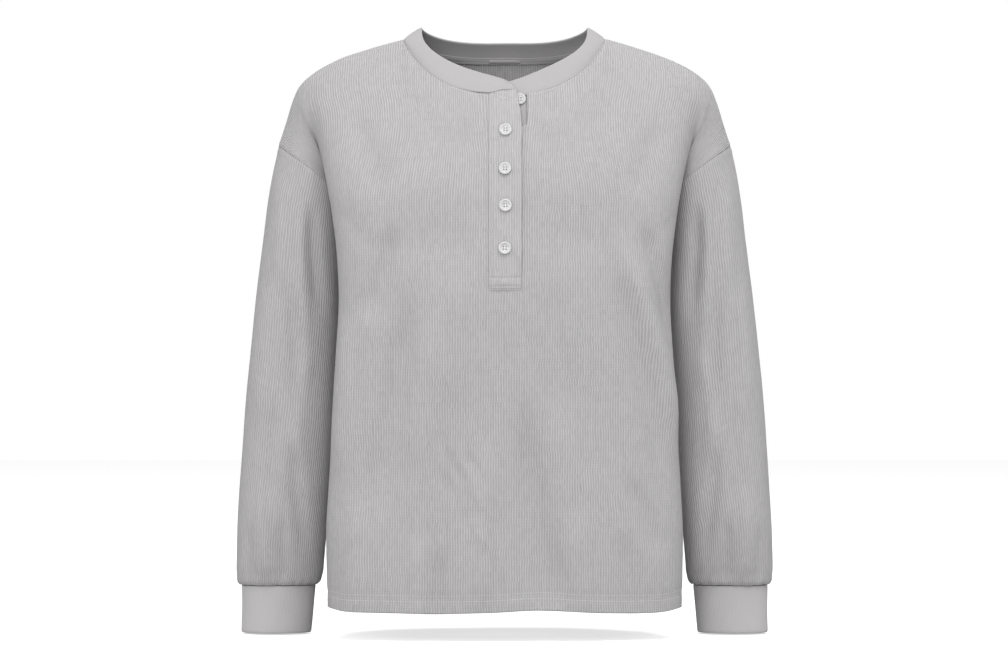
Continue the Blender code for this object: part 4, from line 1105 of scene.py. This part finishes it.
def make_neckband():
    """A folded strip carried round the neck: its section goes up the outer face, round the fold and down the
    inner face. The ends lap at the centre front, and the upper end is cut on a slant."""
    columns, back = band_stations()
    count = len(columns)
    number = np.arange(count)
    seam = at_station(top_edge, columns, back)
    edge = at_station(band_edge, columns, back)
    last = 16
    near_end = ease((number - (count - last)) / last)
    skew = BAND_LEAN * near_end
    edge[:, 2] -= BAND_SAG * near_end
    over_part = (number > count // 2) & ~back
    lifted = over_part * SEAM_CLIMB * ease((seam[:, 0] + CLIMB_WIDTH) / CLIMB_WIDTH)
    seam = seam + unit(edge - seam) * lifted[:, None]
    along = unit(np.gradient(seam, axis=0))
    face = unit(np.cross(seam - edge, along))
    near = ease((LAP_COLUMN - np.abs(columns)) / LAP_FADE) * ~back
    first_half = number < count // 2
    lap = np.where(first_half, -UNDER_DEPTH * np.where((columns < 0) & ~back, 1, near),
                   (OVER_LIFT + OVER_CLOTH) * np.where((columns > 0) & ~back, 1, near))
    steps = 34
    w = np.arange(steps) / steps
    up = np.clip(w / 0.42, 0, 1)
    round_part = np.clip((w - 0.42) / 0.10, 0, 1)
    down = np.clip((w - 0.52) / 0.40, 0, 1)
    foot = np.clip((w - 0.92) / 0.08, 0, 1)
    share = np.where(w < 0.47, up, 1 - down)
    half = BAND_CLOTH / 2
    turn = math.pi * round_part - math.pi / 2
    rise = half * np.cos(turn) * (round_part > 0) * (round_part < 1) - half * 0.8 * np.sin(math.pi * foot)
    level = np.where(foot > 0, -half + BAND_CLOTH * foot, half - half * (1 + np.sin(turn)))
    level = np.where((w >= 0.52) & (foot == 0), -half, np.where(w < 0.42, half, level))
    crown = BAND_CROWN * np.sin(math.pi * share) ** 0.8
    fold_way = unit(edge - seam)
    base = seam[None] + (edge - seam)[None] * share[:, None, None]
    base = base + fold_way[None] * rise[:, None, None]
    wave = 0.00035 * np.sin(number / 6.1)[None, :] * share[:, None]
    out = (level + crown - half)[:, None] + lap[None, :] + wave
    grid = base + face[None] * out[..., None]
    slant = skew[None, :] * share[:, None]
    grid = grid - along[None] * slant[..., None]
    grid = grid + fold_way[None] * ((1 - share) ** 6 * 0.0003)[:, None, None]
    stitch = bell(np.linalg.norm(edge - seam, axis=1)[None, :] * share[:, None] - 0.0016, 0.0010)
    outer = (w < 0.42)[:, None]
    grid = grid - face[None] * (stitch * outer * 0.0003)[..., None]
    length = np.concatenate(((0,), np.cumsum(np.linalg.norm(np.diff(seam, axis=0), axis=1))))
    width = np.linalg.norm(edge - seam, axis=1)
    uv = np.stack(np.broadcast_arrays(length[None, :], width[None, :] * share[:, None]), axis=2)
    points = grid.reshape(-1, 3)
    row, column = np.meshgrid(np.arange(steps), np.arange(count - 1), indexing="ij")
    row, column = row.ravel(), column.ravel()
    after = (row + 1) % steps
    quads = np.stack((row * count + column, row * count + column + 1,
                      after * count + column + 1, after * count + column), axis=1)
    corners = uv.reshape(-1, 2)[quads]
    faces = quads.tolist()
    faces.append([r * count for r in range(steps)])
    faces.append([r * count + count - 1 for r in range(steps)][::-1])
    end_uv = np.concatenate((uv[:, 0], uv[::-1, -1]))
    return make_mesh("neckband_cloth", points, faces, np.concatenate((corners.reshape(-1, 2), end_uv)))


def on_front(x, z):
    """Points of the front's plain form at given widths and levels."""
    column = x / COLUMN_STEP
    point = body_point(column, row_at(column, z, False), False)
    return np.moveaxis(point, 0, -1)


def strip(left, right, top, foot, lift, columns, rows, climb=0.0):
    """Part of the front's own form between two widths and two levels, moved out by lift: left, right and lift
    are functions of the share across and the level."""
    share = np.linspace(0, 1, columns)[None, :]
    fall = np.linspace(0, 1, rows)[:, None]
    level = top + (foot - top) * fall
    x = left(level) + (right(level) - left(level)) * share
    seam_z = np.array(top_edge(x / COLUMN_STEP, False))[2]
    start_z = seam_z + NECK_DROP_FRONT + top
    z = start_z + (foot - start_z) * fall
    grid = on_front(x, z)
    normals = grid_normals(grid)
    height = fold_height(x, z, FRONT_FOLDS) + ripple(x, z, 4) + fullness(x, z, FRONT_FULLNESS)
    height = height + lift(share, level)
    uv = np.stack((x, z), axis=2)
    rise = climb * ease((x + CLIMB_WIDTH) / CLIMB_WIDTH) * ease(1 - (seam_z - z) / 0.016)
    size = np.abs(x) / COLUMN_STEP
    seam = np.moveaxis(np.array(top_edge(size, False)), 0, -1)
    edge = np.moveaxis(band_edge(size, False), 0, -1)
    return grid + normals * height[..., None] + unit(edge - seam) * rise[..., None], uv


def placket_right(level):
    """The free edge of the upper strip, standing back a little towards the neck."""
    open_part = np.clip((level - PLACKET_SLANT_FOOT_Z) / PLACKET_SLANT_RUN, 0, 1)
    return PLACKET_RIGHT - PLACKET_SLANT * open_part ** 1.5


def strip_thickness(distance):
    """Cloth of the upper strip: pressed thin at its sewn edge and full a few millimetres from it."""
    return OVER_CLOTH * (FLAT_EDGE + (1 - FLAT_EDGE) * ease(distance / FLAT_EDGE_WIDTH))


def over_lift(share, level):
    """Height of the upper strip over the front: flush at its sewn edge, standing off at its free one, sunk
    along its rows of stitching and puffed between them, and pressed down round each fastened button."""
    free = ease((share - 0.50) / 0.50)
    width = PLACKET_RIGHT - PLACKET_LEFT
    across = share * width
    lift = OVER_LIFT + strip_thickness(across)
    lift = lift + 0.0012 * free * (1 - ease((-0.240 - level) / 0.028))
    lift = lift - 0.0010 * free * ease((-0.262 - level) / 0.012)
    lift = lift - 0.00060 * bell(across - 0.0067, 0.0009) + 0.00025 * bell(across - 0.0045, 0.0014)
    for stitch_z in (BOX_TOP_Z, BOX_MIDDLE_Z, BOX_FOOT_Z):
        lift = lift - 0.00080 * bell(level - stitch_z, 0.0009)
    lift = lift + 0.0007 * bell(level - (BOX_TOP_Z + BOX_MIDDLE_Z) / 2, 0.0034) * np.sin(math.pi * share)
    lift = lift - 0.0009 * ease((-0.2795 - level) / 0.0035)
    for _, button_z in FASTENED_BUTTONS.values():
        near = np.hypot((share - 0.51) * width, level - button_z)
        lift = lift - 0.0005 * bell(near, 0.0075)
    return lift + 0.00030 * np.sin(level * 150) * free


def under_lift(share, level):
    """The under strip lies flat, at one depth behind the front."""
    return np.full_like(share * level, -UNDER_DEPTH)


def straight_edge(x):
    """An upright edge at one width, whatever the level."""
    return lambda level: np.full_like(level, x)


def make_placket():
    """The upper strip, with the stitched box that closes its foot, and the under strip behind it."""
    steps = 48
    grid, uv = strip(straight_edge(PLACKET_LEFT), placket_right, -NECK_DROP_FRONT - 0.0010, PLACKET_FOOT_Z,
                     over_lift, steps, 230, climb=SEAM_CLIMB)
    across = np.linspace(0, PLACKET_RIGHT - PLACKET_LEFT, steps)[None, :]
    over = wall("placket_upper_strip", grid, grid_normals(grid), strip_thickness(across), uv)
    grid_under, uv_under = strip(straight_edge(UNDER_LEFT), straight_edge(UNDER_RIGHT),
                                 -NECK_DROP_FRONT - 0.0030, UNDER_FOOT_Z, under_lift, 30, 150)
    under = wall("placket_under_strip", grid_under, grid_normals(grid_under), UNDER_CLOTH, uv_under)
    return over, under, grid


def button_frame(x, z, lift):
    """Where a button sits: its place on the front, and the directions right, up and out from the cloth."""
    near = on_front(np.array([x - 0.002, x + 0.002, x, x]), np.array([z, z, z + 0.002, z - 0.002]))
    right = unit(near[1] - near[0])
    up = unit(near[2] - near[3])
    out = unit(np.cross(right, up))
    return near.mean(axis=0) + out * lift, right, np.cross(out, right), out


def make_button(name, x, z, lift):
    """A turned button: the profile's rings round its axis, with four holes cut through its well."""
    centre, right, up, out = button_frame(x, z, lift)
    sides = 56
    turn = 2 * math.pi * np.arange(sides) / sides
    radius = BUTTON_PROFILE["radius"][:, None]
    height = BUTTON_PROFILE["height"][:, None]
    spoke = np.cos(turn)[None, :, None] * right + np.sin(turn)[None, :, None] * up
    rings = centre + radius[..., None] * spoke + height[..., None] * out
    points = rings.reshape(-1, 3)
    count = len(radius)
    row, column = np.meshgrid(np.arange(count - 1), np.arange(sides), indexing="ij")
    here, beside = (row * sides + column).ravel(), (row * sides + (column + 1) % sides).ravel()
    faces = np.stack((here, beside, beside + sides, here + sides), axis=1).tolist()
    faces.append(list(range(sides))[::-1])
    faces.append([(count - 1) * sides + k for k in range(sides)])
    button = make_mesh(name, points, faces)
    cutters = []
    for across in (-1, 1):
        for along in (-1, 1):
            middle = centre + HOLE_REACH * (across * right + along * up)
            angle = (2 * math.pi * np.arange(14) / 14)[:, None]
            ring = np.cos(angle) * right + np.sin(angle) * up
            ends = [middle + HOLE_RADIUS * ring + out * h for h in (-0.002, 0.004)]
            walls = [(k, (k + 1) % 14, 14 + (k + 1) % 14, 14 + k) for k in range(14)]
            walls += [tuple(range(14))[::-1], tuple(range(14, 28))]
            cutters.append((np.concatenate(ends), walls))
    points = np.concatenate([p for p, _ in cutters])
    faces = [tuple(28 * n + k for k in face) for n, (_, walls) in enumerate(cutters) for face in walls]
    cutter = make_mesh(name + "_holes", points, faces)
    cut = button.modifiers.new("holes", "BOOLEAN")
    cut.operation = "DIFFERENCE"
    cut.object = cutter
    bpy.context.view_layer.update()
    finished = bpy.data.meshes.new_from_object(button.evaluated_get(bpy.context.evaluated_depsgraph_get()))
    button.modifiers.clear()
    button.data = finished
    bpy.data.objects.remove(cutter)
    button.data.shade_smooth()
    button.data.set_sharp_from_angle(angle=math.radians(40))
    return button


def make_button_thread(name, x, z, lift):
    """Two loops of thread, each an arched tube that rises from one hole and goes down the other."""
    centre, right, up, out = button_frame(x, z, lift)
    t = np.linspace(0, 1, 15)[:, None]
    turn = 2 * math.pi * np.arange(8) / 8
    points, faces, total = [], [], 0
    for across in (-1, 1):
        for strand in (-0.00020, 0.00022):
            path = (centre + (across * HOLE_REACH + strand) * right + (2 * t - 1) * (HOLE_REACH + 0.0001) * up
                    + (0.0006 + 0.00125 * np.sin(math.pi * t) ** 0.35 + strand * 0.3) * out)
            way = unit(np.gradient(path, axis=0))
            side = np.broadcast_to(right, way.shape)
            rise = unit(np.cross(side, way))
            tube = path[:, None] + 0.00019 * (np.cos(turn)[None, :, None] * side[:, None]
                                              + np.sin(turn)[None, :, None] * rise[:, None])
            points.append(tube.reshape(-1, 3))
            for r in range(14):
                faces += [(total + r * 8 + k, total + r * 8 + 8 + k, total + r * 8 + 8 + (k + 1) % 8,
                           total + r * 8 + (k + 1) % 8) for k in range(8)]
            faces.append(tuple(total + k for k in range(8)))
            faces.append(tuple(total + 14 * 8 + k for k in range(8))[::-1])
            total += 15 * 8
    return make_mesh(name, np.concatenate(points), faces)


def make_buttonhole(over_grid):
    """The open buttonhole at the top of the upper strip: two rounds of close stitches round an oval."""
    points = over_grid.reshape(-1, 3)
    normals = grid_normals(over_grid).reshape(-1, 3)
    runs = []
    for size in (0.86, 1.0):
        turn = np.linspace(0, 2 * math.pi, 60)
        x = BUTTONHOLE["x"] + size * BUTTONHOLE["half_width"] * np.cos(turn)
        z = BUTTONHOLE["z"] + size * BUTTONHOLE["half_height"] * np.sin(turn)
        nearest = [int(np.argmin((points[:, 0] - a) ** 2 + (points[:, 2] - b) ** 2)) for a, b in zip(x, z)]
        out = normals[nearest]
        y = points[nearest, 1] - ((x - points[nearest, 0]) * out[:, 0]
                                  + (z - points[nearest, 2]) * out[:, 2]) / out[:, 1]
        runs.append((np.stack((x, y, z), axis=1) + out * 0.0001, out))
    return stitches("buttonhole_thread", runs, length=0.0011, gap=0.0001, radius=0.00042)


def tape_strip(name, half_column, above, below, lift, count, rows):
    """A strip over the back neck's seam, inside: from above it, on the band, to below it, on the back, each
    row set in from the cloth that it lies on."""
    column = np.linspace(half_column, -half_column, count)[None, :]
    depth = np.linspace(-above, below, rows)[:, None]
    sign = np.where(column < 0, -1.0, 1.0)
    seam = np.array(top_edge(column, True))
    edge = band_edge(np.abs(column), True)
    seam[0] *= sign
    edge = np.array((edge[0] * sign, edge[1], edge[2]))
    seam, edge = np.moveaxis(seam, 0, -1), np.moveaxis(edge, 0, -1)
    climb = np.clip(-depth, 0, None)[..., None] * unit(edge - seam)
    low = on_back(column, seam[..., 2] - np.clip(depth, 0, None))
    grid = low + climb
    for _ in range(3):
        grid[1:-1] += ((grid[:-2] + grid[2:]) / 2 - grid[1:-1]) * 0.5
    normals = grid_normals(grid)
    share = np.linspace(0, 1, rows)[:, None]
    puff = 0.0003 * np.sin(math.pi * share) ** 0.5 - 0.0004 * bell((share - 0.14) * (above + below), 0.0007)
    grid = grid + normals * (lift - puff)[..., None]
    uv = np.stack((-lengths(grid, 1), -lengths(grid, 0)), axis=2)
    return wall(name, grid, normals, TAPE_CLOTH, uv)


def on_back(column, z):
    """Points of the back's plain form at given columns and levels."""
    point = body_point(column, row_at(np.abs(column), z, True), True)
    return np.moveaxis(point, 0, -1)


# ---- topstitching ---------------------------------------------------------------------------------------

def level_run(grid, normals, height):
    """A run of points on a panel at a fixed height above its hem's edge."""
    run, normal = [], []
    for k in range(grid.shape[1]):
        z = grid[:, k, 2]
        level = grid[-1, k, 2] + height
        share = np.array([np.interp(-level, -z, np.arange(len(z)))])
        low = int(share[0])
        part = share[0] - low
        run.append(grid[low, k] * (1 - part) + grid[min(low + 1, len(z) - 1), k] * part)
        normal.append(normals[low, k])
    return np.array(run), np.array(normal)


def beside_seam(grid, normals, start, end, distance):
    """A run of points on a panel at a fixed distance below its top edge, between two columns."""
    down = lengths(grid, 0)
    run, normal = [], []
    for k in range(start, end):
        place = np.interp(distance, down[:, k], np.arange(len(down)))
        low = int(place)
        part = place - low
        run.append(grid[low, k] * (1 - part) + grid[low + 1, k] * part)
        normal.append(normals[low, k])
    return np.array(run), np.array(normal)


# ---- build ----------------------------------------------------------------------------------------------

def build():
    """Make every piece, give it its material, and set it on the shirt's body in place of its CAD parts."""
    knit = waffle_knit("waffle_knit_grey", 0.400)
    strip_knit = waffle_knit("placket_knit_grey", 0.413, contrast=0.7)
    rib = smooth_rib("smooth_rib_grey", 0.396)
    # painted light: the cuffs' rib is a lighter copy of the neckband's rib, offsetting the shade the sleeve's
    # end throws on them
    cuff_rib = smooth_rib("cuff_rib_grey_painted_lighter", 0.460)
    sewing = thread("sewing_thread_grey", 0.54)
    plastic = polished_button("button_plastic_grey", 0.56)

    front, front_grid, front_normals, columns = make_panel(False)
    back, back_grid, back_normals, _ = make_panel(True)
    sleeves = {side: make_sleeve(side) for side in (-1, 1)}
    cuffs = {side: make_cuff(side) for side in (-1, 1)}
    band = make_neckband()
    over, under, over_grid = make_placket()
    tape = tape_strip("neck_tape_cloth", 0.42, 0.0042, 0.0044, -(BAND_CLOTH + 0.0007), 90, 15)
    loop = tape_strip("hanger_loop_cloth", 0.018 / COLUMN_STEP, 0.0026, 0.0020, -(BAND_CLOTH + 0.0024), 24, 8)

    for piece in (front, back, *sleeves.values()):
        piece.data.materials.append(knit)
    for piece in cuffs.values():
        piece.data.materials.append(cuff_rib)
    for piece in (band, tape, loop):
        piece.data.materials.append(rib)
    over.data.materials.append(strip_knit)
    under.data.materials.append(rib)

    declare(front, "waffle_knit", "front_panel")
    declare(back, "waffle_knit", "back_panel")
    declare(sleeves[-1], "waffle_knit", "sleeve_left")
    declare(sleeves[1], "waffle_knit", "sleeve_right")
    declare(cuffs[-1], "smooth_rib", "cuff_left")
    declare(cuffs[1], "smooth_rib", "cuff_right")
    declare(band, "smooth_rib", "neckband")
    declare(over, "waffle_knit", "placket_over")
    declare(under, "smooth_rib", "placket_under")
    declare(tape, "smooth_rib", "neck_tape")
    declare(loop, "smooth_rib", "hanger_loop")

    buttons(plastic, sewing)
    buttonhole = make_buttonhole(over_grid)
    buttonhole.data.materials.append(sewing)
    declare(buttonhole, "smooth_rib")
    stitching = topstitch(front_grid, front_normals, back_grid, back_normals, over_grid, columns)
    stitching.data.materials.append(sewing)
    declare(stitching, "waffle_knit")


def buttons(plastic, sewing):
    """Five buttons, each with its thread: the first loose on the under strip, the others fastened."""
    places = {"button_1": (*LOOSE_BUTTON, -UNDER_DEPTH + 0.0003)}
    for node, (x, z) in FASTENED_BUTTONS.items():
        places[node] = (x, z, OVER_LIFT + OVER_CLOTH + 0.0004)
    for node, (x, z, lift) in places.items():
        button = make_button(node.replace("button", "button_disc"), x, z, lift)
        button.data.materials.append(plastic)
        declare(button, "button", node)
        strands = make_button_thread(node.replace("button", "button_thread"), x, z, lift)
        strands.data.materials.append(sewing)
        declare(strands, "smooth_rib")


def topstitch(front_grid, front_normals, back_grid, back_normals, over_grid, columns):
    """Twin rows round the hem, one row below the neckband, and the box at the placket's foot."""
    runs = []
    for grid, normals in ((front_grid, front_normals), (back_grid, back_normals)):
        for height in HEM_ROWS:
            runs.append(level_run(grid, normals, height))
    neck = np.nonzero(np.abs(columns) < SHOULDER_COLUMN)[0]
    left = neck[columns[neck] < -0.085]
    right = neck[columns[neck] > 0.125]
    runs.append(beside_seam(front_grid, front_normals, left[0], left[-1] + 1, 0.0032))
    runs.append(beside_seam(front_grid, front_normals, right[0], right[-1] + 1, 0.0032))
    runs.append(beside_seam(back_grid, back_normals, neck[0], neck[-1] + 1, 0.0032))
    over_normals = grid_normals(over_grid)
    z = over_grid[:, 0, 2]
    across = over_grid.shape[1]
    for level in (BOX_TOP_Z, BOX_MIDDLE_Z, BOX_FOOT_Z):
        row = int(np.argmin(np.abs(z - level)))
        runs.append((over_grid[row, 2:across - 2], over_normals[row, 2:across - 2]))
    column = int(0.19 * across)
    runs.append((over_grid[2:-4, column], over_normals[2:-4, column]))
    return stitches("topstitching", runs)


def light_and_camera():
    """A pale floor just under the cuffs, soft light from above and in front, and the camera level with the
    shirt's middle."""
    bpy.ops.mesh.primitive_plane_add(size=8, location=(0, 3.0, FLOOR_Z))
    floor = bpy.context.object
    floor.name = "floor"
    floor.data.materials.append(pale_floor())

    world = bpy.data.worlds.new("studio")
    bpy.context.scene.world = world
    world.use_nodes = True
    nodes, links = world.node_tree.nodes, world.node_tree.links
    path = nodes.new("ShaderNodeLightPath")
    seen = nodes["Background"]
    seen.inputs["Color"].default_value = (1.0, 1.0, 1.0, 1.0)
    seen.inputs["Strength"].default_value = 1.0
    lit = nodes.new("ShaderNodeBackground")
    lit.inputs["Color"].default_value = (1.0, 1.0, 1.0, 1.0)
    lit.inputs["Strength"].default_value = ROOM_LIGHT
    mix = nodes.new("ShaderNodeMixShader")
    links.new(path.outputs["Is Camera Ray"], mix.inputs[0])
    links.new(lit.outputs[0], mix.inputs[1])
    links.new(seen.outputs[0], mix.inputs[2])
    links.new(mix.outputs[0], nodes["World Output"].inputs[0])

    for name, (place, size, energy) in LAMPS.items():
        light = bpy.data.lights.new(name, "AREA")
        light.shape = "SQUARE"
        light.size = size
        light.energy = energy
        lamp = bpy.data.objects.new(name, light)
        bpy.context.scene.collection.objects.link(lamp)
        lamp.location = place
        aim = np.array((0, 0, -0.3)) - np.array(place)
        lamp.rotation_euler = (math.atan2(np.hypot(aim[0], aim[1]), -aim[2]), 0,
                               math.atan2(aim[1], aim[0]) - math.pi / 2)

    camera = bpy.data.cameras.new("camera")
    camera.sensor_width = 36.0
    camera.lens = camera.sensor_width * CAMERA_DISTANCE / VIEW_WIDTH
    eye = bpy.data.objects.new("camera", camera)
    bpy.context.scene.collection.objects.link(eye)
    eye.location = (-0.0006, -CAMERA_DISTANCE, CAMERA_Z)
    eye.rotation_euler = (math.pi / 2, 0, 0)
    bpy.context.scene.camera = eye
    bpy.context.scene.view_settings.view_transform = "Standard"
    bpy.context.scene.view_settings.look = "None"


light_and_camera()
build()
